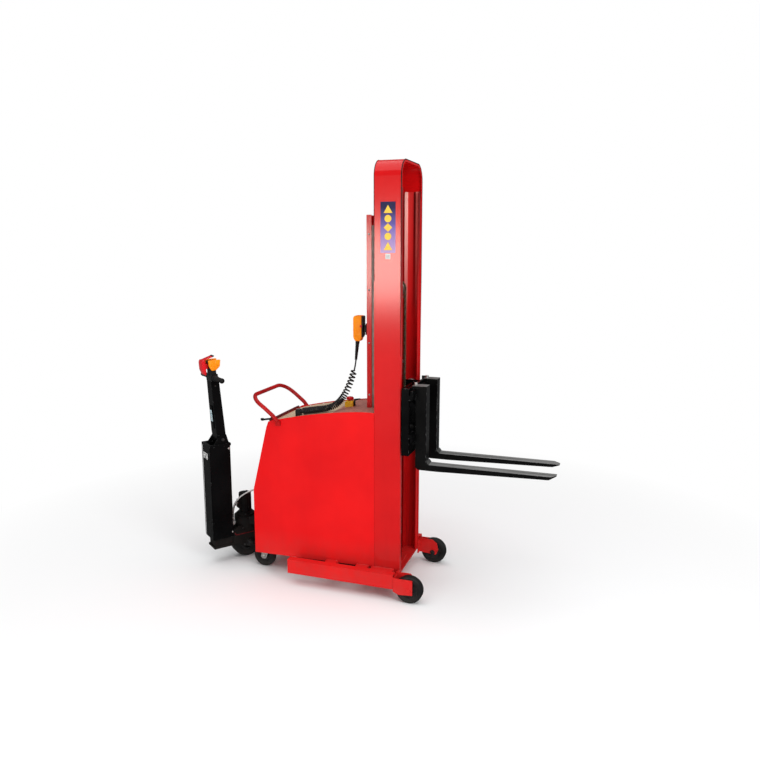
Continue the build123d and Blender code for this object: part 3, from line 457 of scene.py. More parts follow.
class Build:
    """Collects closed solids in millimetres and turns them into one piece."""

    def __init__(self):
        self.bm = bmesh.new()

    def soften(self, verts, soft, segments):
        if soft <= 0:
            return
        edges = list({e for v in verts for e in v.link_edges})
        bmesh.ops.bevel(
            self.bm, geom=edges, offset=soft, offset_type="OFFSET", segments=segments,
            profile=0.5, affect="EDGES", clamp_overlap=True,
        )

    def box(self, x0, x1, y0, y1, z0, z1, soft=0, segments=2):
        size = Matrix.Diagonal((abs(x1 - x0), abs(y1 - y0), abs(z1 - z0), 1))
        middle = MOVE(((x0 + x1) / 2, (y0 + y1) / 2, (z0 + z1) / 2))
        made = bmesh.ops.create_cube(self.bm, size=1, matrix=middle @ size)
        self.soften(made["verts"], soft, segments)
        return self

    def band(self, a, b):
        """Faces between two loops with the same number of vertices."""
        for k in range(len(a)):
            n = (k + 1) % len(a)
            self.bm.faces.new((a[k], a[n], b[n], b[k]))

    def loft(self, lower, upper, soft=0, segments=2):
        """A solid between two outlines with the same number of points."""
        low = [self.bm.verts.new(p) for p in lower]
        top = [self.bm.verts.new(p) for p in upper]
        self.bm.faces.new(low[::-1])
        self.bm.faces.new(top)
        self.band(low, top)
        self.soften(low + top, soft, segments)
        return self

    def ring(self, centre, across, third, radius, sides):
        return [
            self.bm.verts.new(centre + (across * c + third * d) * radius)
            for c, d in circle(sides, 1)
        ]

    def side(self, outline, y0, y1, soft=0, segments=2):
        """A plate whose outline is given as (x, z)."""
        return self.loft(
            [(x, y0, z) for x, z in outline], [(x, y1, z) for x, z in outline], soft, segments
        )

    def lathe(self, profile, start, direction, sides=32):
        """A turned solid: profile holds (radius, distance along direction).

        The profile starts and ends on the axis, or closes on itself round a bore.
        """
        axis = Vector(direction).normalized()
        across = axis.orthogonal().normalized()
        third = axis.cross(across)
        rings = []
        for radius, along in profile:
            centre = Vector(start) + axis * along
            if radius < 1e-6:
                rings.append([self.bm.verts.new(centre)])
                continue
            rings.append(self.ring(centre, across, third, radius, sides))
        for a, b in zip(rings, rings[1:] + rings[:1]):
            if len(a) == len(b) == sides:
                self.band(a, b)
            elif len(a) != len(b):
                for k in range(sides):
                    n = (k + 1) % sides
                    fan = (a[0], b[n], b[k]) if len(a) == 1 else (a[k], a[n], b[0])
                    self.bm.faces.new(fan)
        return self

    def tube(self, points, radius, sides=10):
        """A bar along a line of points; radius is one number or one for each point."""
        points = [Vector(p) for p in points]
        radii = radius if isinstance(radius, (list, tuple)) else [radius] * len(points)
        frames = carried(points, (points[1] - points[0]).orthogonal().normalized())
        rings = [self.ring(p, *axes, r, sides) for p, axes, r in zip(points, frames, radii)]
        for a, b in zip(rings, rings[1:]):
            self.band(a, b)
        self.bm.faces.new(rings[0][::-1])
        self.bm.faces.new(rings[-1])
        return self

    def bead(self, start, end, radius=2.4, step=2.6):
        """A weld bead with its ripples."""
        a, b = Vector(start), Vector(end)
        count = max(4, int((b - a).length / step))
        points = [a.lerp(b, i / count) for i in range(count + 1)]
        radii = [radius * (0.8 if i % 2 else 1) for i in range(count + 1)]
        radii[0] = radii[-1] = radius * 0.35
        return self.tube(points, radii, 8)

    def bolt(self, at, direction, across=13, washer=True):
        """A hexagon head on its washer."""
        r = across / sqrt(3)
        base = 0
        if washer:
            base = 1.6
            disc = [(0, 0), (r * 1.35, 0), (r * 1.4, 0.5), (r * 1.35, base), (0, base)]
            self.lathe(disc, at, direction, 24)
        h = across * 0.55
        self.lathe(
            [(0, base), (r, base), (r, base + h - 1), (r * 0.86, base + h), (0, base + h)],
            at, direction, 6,
        )
        return self

    def screw(self, at, direction, radius=6):
        """A domed screw head with a socket."""
        h = radius * 0.55
        self.lathe(
            [(0, 0), (radius, 0), (radius * 0.96, h * 0.45), (radius * 0.72, h * 0.85),
             (radius * 0.45, h), (radius * 0.42, h * 0.45), (0, h * 0.45)],
            at, direction, 20,
        )
        return self

    def done(self, name, finish, body, slot=None, place=None, stands_for=None, between=None):
        """Makes the piece and gives it to its body, whose frame it is drawn in.

        The slot argument is not used. A piece between two bodies has a
        pair of bodies and the points where it joins them.
        """
        bmesh.ops.recalc_face_normals(self.bm, faces=self.bm.faces)
        self.bm.transform(place or PLACES.get(body, ROW))
        for face in self.bm.faces:
            face.smooth = True
        limit = radians(SMOOTH_BELOW)
        for edge in self.bm.edges:
            edge.smooth = len(edge.link_faces) == 2 and edge.calc_face_angle(0) < limit
        mesh = bpy.data.meshes.new(name)
        self.bm.to_mesh(mesh)
        self.bm.free()
        obj = bpy.data.objects.new(name, mesh)
        add_to_scene(obj)
        mesh.materials.append(M[finish])
        if between:
            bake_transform(obj)
        else:
            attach(obj, body)
        if stands_for:
            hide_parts(stands_for)


def dress_cad():
    """Gives every CAD node the finish of its own material slot."""
    slots = {p["node"]: p["material_slot"] for p in frame["record"]["subparts"]}
    slots.update(right_mast_channel="channel_paint", left_mast_channel="channel_paint")
    slots.update(right_fork="fork_paint", left_fork="fork_paint", push_handle="handle_paint")
    for name, obj in NODES.items():
        finish = M[slots[name]]
        if not obj.material_slots:
            obj.data.materials.append(finish)
        for holder in obj.material_slots:
            holder.material = finish


dress_cad()


# ---------------- cords

COIL_ROUTE = (
    (-562, -130, 914), (-487, -136, 930), (-418, -134, 941), (-378, -111, 953),
    (-352, -80, 981), (-334, -50, 1023), (-322, -21, 1070), (-308, 0, 1134),
)
LEAD_ROUTE = ((-303, 1, 1160), (-300, 0, 1182))
CABLE_ROUTE = (
    (-832, -60, 440), (-876, -61, 432), (-922, -62, 412), (-967, -63, 384),
    (-1006, -63, 348), (-1031, -62, 304), (-1039, -61, 251), (-1035, -59, 200),
)


def spline_of(name, points):
    """A NURBS curve with these control points, in the row frame."""
    curve = bpy.data.curves.new(name, "CURVE")
    curve.dimensions = "3D"
    spline = curve.splines.new("NURBS")
    spline.points.add(len(points) - 1)
    for knot, p in zip(spline.points, points):
        knot.co = (*p, 1)
    spline.order_u = 3
    spline.use_endpoint_u = True
    return bpy.data.objects.new(name, curve)


def line_of(obj):
    """The points of a curve with no bevel."""
    mesh = bpy.data.meshes.new_from_object(obj)
    points = [v.co.copy() for v in mesh.vertices]
    bpy.data.meshes.remove(mesh)
    return points


def cord_mesh(name, points, diameter, steps, finish):
    """A round cord along a NURBS spline, as a mesh, and the line it follows."""
    guide = spline_of(name + "_line", points)
    guide.data.resolution_u = steps
    line = line_of(guide)
    guide.data.bevel_depth = diameter / 2
    guide.data.bevel_resolution = 2
    guide.data.use_fill_caps = True
    mesh = bpy.data.meshes.new_from_object(guide)
    for face in mesh.polygons:
        face.use_smooth = True
    obj = bpy.data.objects.new(name, mesh)
    add_to_scene(obj)
    mesh.materials.clear()
    mesh.materials.append(M[finish])
    bpy.data.curves.remove(guide.data)
    return obj, line


class Track:
    """Points and turning frames at any distance along a line."""

    def __init__(self, line):
        self.line = line
        self.at = [0]
        for a, b in zip(line, line[1:]):
            self.at.append(self.at[-1] + (b - a).length)
        self.length = self.at[-1]
        self.frames = list(carried(line, Vector(ACROSS)))

    def find(self, s):
        i = 0
        while i < len(self.at) - 2 and self.at[i + 1] < s:
            i += 1
        t = (s - self.at[i]) / max(self.at[i + 1] - self.at[i], 1e-12)
        axes = [a.lerp(b, t).normalized() for a, b in zip(self.frames[i], self.frames[i + 1])]
        return self.line[i].lerp(self.line[i + 1], t), *axes


def ease(x):
    x = min(max(x, 0), 1)
    return x * x * (3 - 2 * x)


CORD_D = 0.008
CABLE_D = 0.0076
COIL_R = 0.0145
CLOSED_PITCH = 0.0094
OPEN_PITCH = 0.019
OPEN_LENGTH = 0.185
POINTS_A_TURN = 14


def curly_cord():
    """The pendant's cord: closed turns on the cover, open turns as it hangs, a straight lead."""
    route = [row(*p) for p in COIL_ROUTE + LEAD_ROUTE]
    guide = spline_of("coil_guide", route)
    guide.data.resolution_u = 24
    track = Track(line_of(guide))
    coil = track.length - 0.052
    open_from = coil - OPEN_LENGTH
    points = [track.find(0)[0], track.find(0.004)[0]]
    s, turn = 0.006, 0
    while s < coil:
        pitch = CLOSED_PITCH + (OPEN_PITCH - CLOSED_PITCH) * ease((s - open_from) / 0.09)
        middle, across, third = track.find(s)
        reach = COIL_R * ease((s - 0.004) / 0.014) * ease((coil - s) / 0.014)
        points.append(middle + (across * cos(turn) + third * sin(turn)) * reach)
        s += pitch / POINTS_A_TURN
        turn += tau / POINTS_A_TURN
    s = coil + 0.006
    while s < track.length:
        points.append(track.find(s)[0])
        s += 0.01
    points.append(track.line[-1])
    cord, line = cord_mesh("pendant_cord", points, CORD_D, 2, "cord_black")
    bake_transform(cord)
    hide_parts("coil_cord", "cord_lead")


def drive_cables():
    """A grey and a black cable that run together from the body to the drive unit."""
    for name, finish, shift, low in (
        ("drive_cable_grey", "cable_grey", -4.2, 0),
        ("drive_cable_black", "cord_black", 4.2, -3),
    ):
        points = [
            row(x, y + shift, z + (low if 0 < i < 7 else 0))
            for i, (x, y, z) in enumerate(CABLE_ROUTE)
        ]
        cable, line = cord_mesh(name, points, CABLE_D, 8, finish)
        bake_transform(cable)
        if shift < 0:
            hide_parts("drive_cable")


curly_cord()
drive_cables()


# ---------------- mast, guard and body

def decals():
    """A plain ornament of triangles, discs and a lozenge, and a small blank plate below it."""
    for name, side in NAMED_SIDES:
        face = side * 180
        skin = Build().box(-104, -29, face, face + side * 0.4, 1735, 1972, 0.15, 1)
        skin.done(name + "_decal", "decal_painted_sheen", "chassis", "mast_paint")
        marks = Build()
        y0, y1 = face + side * 0.35, face + side * 0.9
        marks.side([(-88, 1920), (-45, 1920), (-66.5, 1957)], y0, y1)
        marks.side([(-66.5, 1786), (-88, 1748), (-45, 1748)][::-1], y0, y1)
        disc = [(0, 0), (17, 0), (17, 0.55), (0, 0.55)]
        for z in (1894, 1812):
            marks.lathe(disc, (-66.5, y0, z), (0, side, 0), 28)
        marks.side([(-88, 1853), (-66.5, 1833), (-45, 1853), (-66.5, 1873)], y0, y1)
        marks.done(name + "_decal_marks", "mark_yellow", "chassis", "yellow_plastic")
        plate = Build().box(-79, -54, face, face + side * 0.5, 1706, 1731, 0.2, 1)
        plate.done(name + "_mast_plate", "label_white", "chassis", "mast_paint")
        ink = Build()
        for z in (1724, 1718, 1712):
            ink.box(-75, -58, face + side * 0.4, face + side * 0.8, z - 1, z + 1)
        ink.done(name + "_mast_plate_lines", "label_ink", "chassis", "black_paint")


def guard_details():
    """A cable duct each side of the guard's spine, its screws and the welds at its foot."""
    foot_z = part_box("rear_guard")[0].z / MM
    ducts = Build()
    # Black blocks on the ducts' tops are painted shade inside their open mouths.
    mouth_shade = Build()
    bolts = Build()
    for side in SIDES:
        ducts.box(-196.5, -152, side * 22.2, side * 43.5, foot_z + 0.5, 1868, 1.5, 2)
        mouth_shade.box(-192, -157, side * 26.2, side * 39.5, 1862, 1868.6, 0.5, 1)
        for z in (1010, 1280, 1550, 1826):
            bolts.screw((-210, side * 45, z), (0, side, 0), 5)
            bolts.screw((-174, side * 43.5, z), (0, side, 0), 4)
    ducts.done("guard_ducts", "galvanised", "chassis", "bare_steel")
    mouth_shade.done("guard_duct_mouth_shade", "label_ink", "chassis", "black_paint")
    bolts.done("guard_screws", "pump_alloy", "chassis", "zinc")
    foot = Build()
    weld_z = foot_z + 1
    for side in SIDES:
        foot.bead((-222, side * 46, weld_z), (-198, side * 46, weld_z))
    foot.bead((-224, -44, weld_z), (-224, 44, weld_z))
    foot.done("guard_welds", "mast_paint", "chassis")


HOOD_R = 80


def hood_edge(x, lowest, radius, build):
    """A rounded trim along the mast wrapper's edge: up one side, over the top and down."""
    top, half = 2170, 180
    points = [(x, -half, lowest), (x, -half, 1600), (x, -half, top - HOOD_R)]
    for side in SIDES:
        for k in range(1, 9):
            a = pi / 2 * (k if side < 0 else 9 - k) / 9
            y, z = side * (half - HOOD_R * (1 - cos(a))), top - HOOD_R * (1 - sin(a))
            points.append((x, y, z))
    points += [(x, half, top - HOOD_R), (x, half, 1600), (x, half, lowest)]
    build.tube(points, [radius * 0.3, *[radius] * (len(points) - 2), radius * 0.3], 8)


def mast_details():
    """Edge trims and seams of the wrapper, and the ram's gland."""
    trim = Build()
    hood_edge(-1, 1240, 2.6, trim)
    hood_edge(-136, 1960, 1.8, trim)
    trim.done("hood_edge_trim", "edge_trim", "chassis", "mast_paint")
    seams = Build()
    for side in SIDES:
        seams.bead((-137, side * 180.2, 128), (-137, side * 180.2, 940), 1.3, 3.4)
        seams.bead((-4.6, side * 168, 112), (-4.6, side * 168, 2000), 1.3, 3.6)
    seams.done("mast_seams", "mast_paint", "chassis")
    gland = Build().lathe(
        [(13.6, 0), (27, 0), (28.5, 2), (28.5, 12), (26, 15), (19, 17), (17, 20), (13.6, 20)],
        (SHEAVE_X, 0, 1180), UP, 36,
    )
    gland.done("ram_gland", "bare_steel", "chassis")


def cover_z(x):
    """The height of the body's top cover, which crowns gently towards the mast."""
    ends = ((-667, 870), (-400, 922), (-200, 943))
    total = 0
    for i, (xi, zi) in enumerate(ends):
        for j, (xj, _) in enumerate(ends):
            if j != i:
                zi *= (x - xj) / (xi - xj)
        total += zi
    return total


def body_details():
    screws = Build()
    for z in (190, 330, 455):
        for y in (-150, 150):
            screws.screw((-831.5, y, z), (-1, 0, 0), 6)
    for y in (-150, 150):
        screws.screw((-790, y, 634), (-0.97, 0, 0.24), 6)
    for x in (-640, -560, -470, -400, -350, -260):
        for y in (-166, 166):
            screws.screw((x, y, cover_z(x) - 0.3), (-0.18, 0, 0.98), 4.5)
    screws.done("cover_screws", "zinc", "chassis")
    welds = Build()
    for side in SIDES:
        for x0, x1 in ((-404, -341), (-234, -167), (-150, -30)):
            for y in (181, 238.5):
                welds.bead((x0, side * y, 130.5), (x1, side * y, 130.5), 1.8)
        for x0, y0, z0, x1, y1, z1, radius in (
            (-6.5, 277.5, 72, -6.5, 277.5, 128, 2.2), (-6.5, 182, 129, -6.5, 236, 129, 2.2),
            (-683, 180.6, 843, -683, 180.6, 866, 2), (-655, 180.6, 843, -655, 180.6, 866, 2),
            (-682, 180.6, 841, -656, 180.6, 841, 2),
        ):
            welds.bead((x0, side * y0, z0), (x1, side * y1, z1), radius)
    welds.done("body_welds", "body_paint", "chassis")
    # The rolled rear lip is dark red: painted shade for the body paint's shaded underside.
    roll = [(-720, y, 863.5) for y in (-176, -174, -120, 0, 120, 174, 176)]
    edging = Build().tube(roll, [5, 6.4, 7, 7, 7, 6.4, 5], 16)
    edging.done("rear_lip_roll", "dark_red", "chassis", "body_paint")
    # Near-black strips in the gaps between the outriggers: painted shade under the body.
    shade_strips = Build()
    for side in SIDES:
        for x0, x1 in ((-586, -406), (-339, -236), (-165, -139)):
            shade_strips.box(x0, x1, side * 172, side * 175.5, 100, 155, 1, 1)
    shade_strips.done("underbody_shade_strips", "wheel_rubber", "chassis")


def wheel(name, side, centre, radius, width, bore, hub_finish):
    """A rubber tyre on a hub, both turned, in place of one CAD wheel."""
    body = f"{name}_wheel_{side}"
    node = f"{side}_{name}_wheel"
    name = f"{side}_{name}"
    x, y, z = centre
    w = width / 2
    rim = radius * 0.64
    tyre = Build().lathe(
        mirrored([
            (rim, w - 2), (rim + 2, w), (radius - 9, w), (radius - 4.5, w - 1.2),
            (radius - 1.4, w - 4), (radius - 0.3, w - 8), (radius, 3),
        ]),
        (x, y, z), ACROSS, 72,
    )
    wall = ((15, -0.2), (14, 0.7), (12, 0.7), (11, -0.2))
    for face in SIDES:
        rib = [(radius - inset, face * (w + rise)) for inset, rise in wall]
        tyre.lathe(rib, (x, y, z), ACROSS, 72)
    tyre.done(name + "_tyre", "wheel_rubber", body, stands_for=node)
    hub = Build().lathe(
        mirrored([
            (bore, w), (bore + 8, w), (bore + 9.5, w - 3), (bore + 14, w - 7), (rim - 7, w - 7),
            (rim - 3, w - 2.5), (rim + 0.2, w - 2),
        ]),
        (x, y, z), ACROSS, 48,
    )
    for dx, dz in circle(5, (bore + 14 + rim - 7) / 2):
        for face in SIDES:
            hub.screw((x + dx, y + face * (w - 7), z + dz), (0, face, 0), 3.4)
    hub.done(name + "_hub", hub_finish, body, "hub_iron")


def wheels():
    for side, s in NAMED_SIDES:
        wheel("front", side, (74, s * 248, 70), 70, 42, 8.2, "hub_iron")
        wheel("caster", side, (-814, s * 100, 63.5), 63.5, 32, 6.2, "wheel_rubber")
        nut = Build()
        for face in SIDES:
            nut.bolt((-814, s * 100 + face * 25, 63.5), (0, face, 0), 15)
        race = [(22, 0), (28, 0), (29, 3), (28, 6), (22, 6)]
        nut.lathe(race, (-787, s * 100, 141), UP, 36)
        nut.done(side + "_caster_fasteners", "zinc", "caster_" + side)
        inner = Build().bolt((74, s * 211.5, 70), (0, -s, 0), 17)
        inner.done(side + "_axle_nut", "hub_iron", "chassis")


decals()
guard_details()
mast_details()
body_details()
wheels()


# ---------------- lift

LINK = 12.7
CHAIN_R = 36


def link_row(build, x, z, odd):
    """One row of leaf-chain plates, each two round lobes and a waist."""
    outline = []
    for end in (1, -1):
        for k in range(7):
            a = pi * k / 6 + (0 if end > 0 else pi)
            up = 5.2 * sin(a) * 0.95
            outline.append((x + 5.2 * cos(a), z + end * LINK / 2 + up))
        outline.append((x - end * 4, z))
    for y in (-6.6, -2.2, 2.2, 6.6) if odd else (-4.4, 0, 4.4):
        build.side(outline, y - 1, y + 1)


def link_pin(build, x, z):
    build.lathe([(0, -8), (2.3, -8), (2.3, 8), (0, 8)], (x, 0, z), ACROSS, 10)


def chain_strand(node, x, z0, z1, body, low):
    """One upright run of a chain, stretched between its anchor on a body and the ram."""
    strand = Build()
    z, odd = z0 + 6, False
    while z < z1:
        link_row(strand, x, min(z + LINK / 2, z1), odd)
        link_pin(strand, x, z)
        z += LINK
        odd = not odd
    strand.done(
        node + "_links", "chain_steel", (body, "ram"), stands_for=node,
        between=(row(x, 0, low), row(x, 0, 1540)),
    )


def lift_details():
    chain_strand("carriage_chain", SHEAVE_X + CHAIN_R, 722, 1556, "carriage", 760)
    chain_strand("anchor_chain", SHEAVE_X - CHAIN_R, 900, 1556, "chassis", 930)
    arc = Build()
    for k in range(10):
        a = pi * k / 9
        x, z = SHEAVE_X + CHAIN_R * cos(a), SHEAVE_Z + CHAIN_R * sin(a)
        turned = Build()
        link_row(turned, 0, 0, k % 2)
        turned.bm.transform(MOVE((x, 0, z)) @ Matrix.Rotation(-a, 4, "Y"))
        scrap = bpy.data.meshes.new("arc_link")
        turned.bm.to_mesh(scrap)
        turned.bm.free()
        arc.bm.from_mesh(scrap)
        bpy.data.meshes.remove(scrap)
        link_pin(arc, x, z)
    arc.done("sheave_chain_links", "chain_steel", "ram")
    yoke = Build()
    for side in SIDES:
        yoke.bolt((SHEAVE_X, side * 26, SHEAVE_Z), (0, side, 0), 24)
        yoke.bolt((SHEAVE_X, side * 26, 1518), (0, side, 0), 10)
    yoke.done("crosshead_bolts", "bare_steel", "ram")
    bolts = Build()
    for y in (-150, -95, 95, 150):
        for z in (1000, 890):
            bolts.bolt((45, y, z), (1, 0, 0), 15)
    bolts.done("carriage_fasteners", "drive_black", "carriage", "black_paint")
    welds = Build()
    for side in SIDES:
        welds.bead((46, side * 188, 1026), (52.5, side * 188, 1026), 2.2)
        welds.bead((34, side * 181, 750), (34, side * 181, 1080), 2.6)
        for z in (852.5, 1027.5):
            welds.bead((46.5, side * 60, z), (46.5, side * 186, z), 2.4)
    welds.done("carriage_welds", "black_paint", "carriage")
    for side, s in NAMED_SIDES:
        pin = Build().lathe(
            [(0, 0), (8, 0), (8.5, 1), (8.5, 5), (6, 6), (6, 9), (9, 10), (9, 13), (7.5, 14.5),
             (0, 15)],
            (57, s * 107, 1088), UP, 24,
        )
        pin.done(side + "_fork_pin", "zinc", "fork_" + side)
        heel = Build()
        for y in (-29.5, 29.5):
            heel.bead((121.4, s * 107 + y, 707.5), (134, s * 107 + y, 694), 1.8, 2.2)
        heel.done(side + "_fork_heel", "black_paint", "fork_" + side)


lift_details()


# ---------------- drive unit and tiller

def column_details():
    lip = Build()
    for y0, y1 in ((-59, -56.4), (56.4, 59)):
        lip.box(-220.5, -95.5, y0, y1, 684, 699, 0.8, 1)
    lip.box(-220.5, -217.9, -59, 59, 684, 699, 0.8, 1)
    lip.box(-98.1, -95.5, -59, 59, 684, 699, 0.8, 1)
    for side in SIDES:
        lip.tube([(-219, side * 57.6, 152), (-219, side * 57.6, 684)], 1.6, 8)
    lip.tube([(-218.4, -56, 250), (-218.4, 56, 250)], 1, 8)
    lip.tube([(-216, -56.9, 250), (-100, -56.9, 236)], 1, 8)
    lip.done("column_edging", "black_paint", "steer_unit")
    bolts = Build()
    for side in SIDES:
        bolts.screw((-107, side * 56.6, 668), (0, side, 0), 6.5)
        bolts.screw((-105, side * 56.6, 178), (0, side, 0), 4)
    bolts.done("column_screws", "zinc", "steer_unit")
    plate = Build().box(-218.9, -218, -22, 42, 612, 646, 0.4, 1)
    plate.done("column_plate", "label_white", "steer_unit", "black_paint")
    ink = Build()
    for z, y0, y1 in ((639, -16, 36), (631, -16, 12), (623, 0, 36), (617, -16, 24)):
        ink.box(-219.5, -218.7, y0, y1, z - 2, z + 2)
    ink.done("column_plate_lines", "label_ink", "steer_unit", "black_paint")
    caps = Build()
    for side in SIDES:
        caps.bolt((PIVOT_X, side * 54, PIVOT_Z), (0, side, 0), 12)
    caps.done("pivot_nuts", "hub_iron", "steer_unit")


def drive_details():
    bolts = Build()
    for y in (-74, 74):
        for z in (176, 274):
            bolts.bolt((-840, y, z), (-1, 0, 0), 17)
    bolts.done("mount_bolts", "bare_steel", "chassis")
    ring = Build()
    for count, radius, z in ((8, 45, 256), (4, 26, 374)):
        for x, y in circle(count, radius, 0.5):
            ring.bolt((x, y, z), UP, 8, washer=False)
    for side in SIDES:
        ring.bolt((0, side * 55, 88), (0, side, 0), 24)
        for x, z in ((-38, 182), (38, 182), (-30, 82), (30, 82)):
            ring.bolt((x, side * 47, z), (0, side, 0), 11, washer=False)
    ring.done("drive_bolts", "hub_iron", "steer_unit")
    motor = Build()
    hoop = [(33, 0), (35.6, 0.8), (35.6, 5.2), (33, 6)]
    for z in (272, 356):
        motor.lathe(hoop, (0, 0, z), UP, 48)
    for x, y in circle(18, 34):
        motor.tube([(x, y, 280), (x, y, 352)], 1.5, 6)
    motor.lathe([(0, 0), (22, 0), (24, 2), (22, 5), (0, 6)], (0, 0, 373), UP, 32)
    motor.done("motor_ribs", "drive_black", "steer_unit")
    leads = Build()
    stud = [(0, 0), (5, 0), (5, 4), (3, 5), (3, 10), (0, 10)]
    for y, z in ((-7, 322), (7, 306)):
        leads.lathe(stud, (-46, y, z), (-1, 0, 0), 16)
    leads.done("motor_terminals", "bare_steel", "steer_unit")
    plugs = Build().box(-1043, -1027, -70, -48, 199, 214, 2)
    plugs.box(-1046, -1034, -66, -52, 226, 240, 2)
    plugs.done("cable_plugs", "label_white", "steer_unit", "cable_grey", place=ROW)
    straps = Build().box(-78, 30, -49.5, -47, 146, 152, 0.8, 1)
    straps.tube([(-80, -52, 150), (-86, -50, 158), (-88, -44, 166)], 2.2, 8)
    straps.done("brake_link", "dark_red", "steer_unit", "red_plastic")
    fender = Build().side(
        [(-60, 100), (-60, 150), (-40, 178), (0, 186), (40, 178), (58, 150), (58, 146),
         (38, 173), (0, 181), (-38, 173), (-56, 148), (-56, 100)],
        -46, -36, 1, 1,
    )
    fender.done("drive_fender", "drive_black", "steer_unit")


BAR_Z = 345


def tiller_details():
    plate = Build().box(-31, -29.6, -12.5, 12.5, 101, 166, 0.5, 1)
    plate.done("tiller_strip", "label_blue", "tiller", "black_paint")
    ink = Build()
    for k in range(5):
        ink.box(-31.5, -30.8, -8, 8 if k % 2 else 0, 108 + 12 * k, 110.5 + 12 * k)
    ink.done("tiller_strip_lines", "label_ink", "tiller", "black_paint")
    screws = Build()
    for side in SIDES:
        for x, y, z in ((-12, 37.2, 20), (14, 37.2, 20), (0, 37.2 - 5.4, 300)):
            screws.screw((x, side * y, z), (0, side, 0), 4.5)
    for y in (-22, 22):
        screws.screw((-25, y, 352), (-1, 0, 0), 4.5)
    screws.done("tiller_screws", "hub_iron", "tiller")
    grips = Build()
    sleeve = [(9.1, 62), (14.6, 62), (15.2, 63.5), (15.2, 66), (13.4, 67.5)]
    for y in range(70, 128, 6):
        sleeve += [(12, y), (13, y + 1), (13, y + 3.4), (12, y + 4.4)]
    sleeve += [(12.2, 131), (14.2, 133), (14.2, 139), (12.5, 142), (9.1, 143)]
    plug = [(0, 135), (9.4, 135), (9.4, 142), (7, 143), (0, 143)]
    for side in SIDES:
        grips.lathe(sleeve, (0, 0, BAR_Z), (0, side, 0), 28)
        grips.lathe(plug, (0, 0, BAR_Z), (0, side, 0), 24)
    grips.done("ribbed_grips", "grip_rubber", "tiller", stands_for="handle_grips")
    collar = Build()
    cone = [(9.5, 31), (17, 31), (18, 33), (18, 39), (16, 42), (13, 58), (11.4, 60), (9.5, 60)]
    for side in SIDES:
        collar.lathe(cone, (0, 0, BAR_Z), (0, side, 0), 28)
    collar.done("bar_collars", "head_plastic", "tiller")
    wings = Build()
    wing = [(-24, 444), (44, 440), (37, 404), (14, 386), (-10, 386), (-22, 410)]
    for side in SIDES:
        wings.side(wing, *sorted((side * 20.5, side * 36)), 4, 3)
        for x in (-14, 0, 14, 28):
            wings.tube([(x, side * 35.4, 438), (x * 0.7 + 1, side * 35.4, 402)], [1.1, 1.5], 6)
    wings.done("throttle_paddles", "orange_plastic", "throttle", stands_for="throttle_wings")
    caps = Build()
    dome = [(0, 0), (7, 0), (7, 1), (5, 2.4), (0, 3)]
    for side in SIDES:
        caps.lathe(dome, (2, side * 34, 412), (0, side, 0), 20)
    caps.done("throttle_caps", "orange_plastic", "tiller")
    pad = Build().side(
        [(-58, 434), (-55, 444), (-50, 449), (-39, 447), (-39, 384), (-42, 366), (-46, 366),
         (-49, 370), (-58, 396)],
        -28, 28, 4, 3,
    )
    pad.side([(-52, 443), (-50, 449), (10, 464), (12, 458)], -18, 18, 1.6, 2)
    pad.box(-39.5, -20.5, -10, 10, 396, 424, 1, 1)
    pad.done("belly_pad", "red_plastic", "reverse_switch", stands_for="belly_switch")
    # The black tip is painted shade on the end of the pad's top flange.
    tip = Build().side([(6, 457.5), (5, 463.7), (15, 466.2), (17, 460)], -19, 19, 1.2, 2)
    tip.done("belly_pad_shaded_tip", "head_plastic", "reverse_switch")


column_details()
drive_details()
tiller_details()


# ---------------- pendant, stop button, gland

def pendant():
    shell = Build().side(
        [(-308, 1303), (-308, 1404), (-304, 1412), (-296, 1416), (-261, 1416), (-261, 1306),
         (-270, 1284), (-296, 1283), (-302, 1290)],
        -21, 21, 4.5, 3,
    )
    for side in SIDES:
        for k in range(5):
            y, z = side * 20.6, 1312 + 7 * k
            shell.tube([(-299 + k * 2, y, z), (-270, y, z)], 1.1, 6)
    shell.done("pendant_shell", "orange_plastic", "pendant", stands_for="pendant_housing")
    back = Build().side(
        [(-261.5, 1302), (-261.5, 1414), (-255, 1414), (-254, 1408), (-254, 1316)],
        -20.5, 20.5, 1.5, 2,
    )
    back.box(-254.5, -236, -6.4, 6.4, 1330, 1366, 1, 1)
    back.box(-236.6, -232, -10.4, 10.4, 1326, 1370, 1, 1)
    bezel = [(8.4, 0), (11.5, 0), (11.5, 2), (10.5, 3), (8.4, 3)]
    for z in (1372, 1338):
        back.lathe(bezel, (-307.4, 0, z), (-1, 0, 0), 28)
    back.done("pendant_back", "head_plastic", "pendant")
    foot, head = Vector((-300, 0, 1183.4)), Vector((-289.6, 0, 1287))
    tall = (head - foot).length
    rings = []
    for k in range(25):
        t = k / 24
        rings.append((7 + 4.4 * t - (1.2 if k % 2 and k < 20 else 0), t * tall))
    boot = Build().lathe([(0, 0), *rings, (0, tall)], foot, head - foot, 24)
    boot.done("pendant_boot", "cord_black", "pendant")
    catch = Build()
    for y0, y1 in ((-22.4, -20.6), (20.6, 22.4)):
        catch.box(-270, -259, y0, y1, 1356, 1368, 0.6, 1)
    catch.done("pendant_catch", "red_plastic", "pendant")


STOP_X = -335


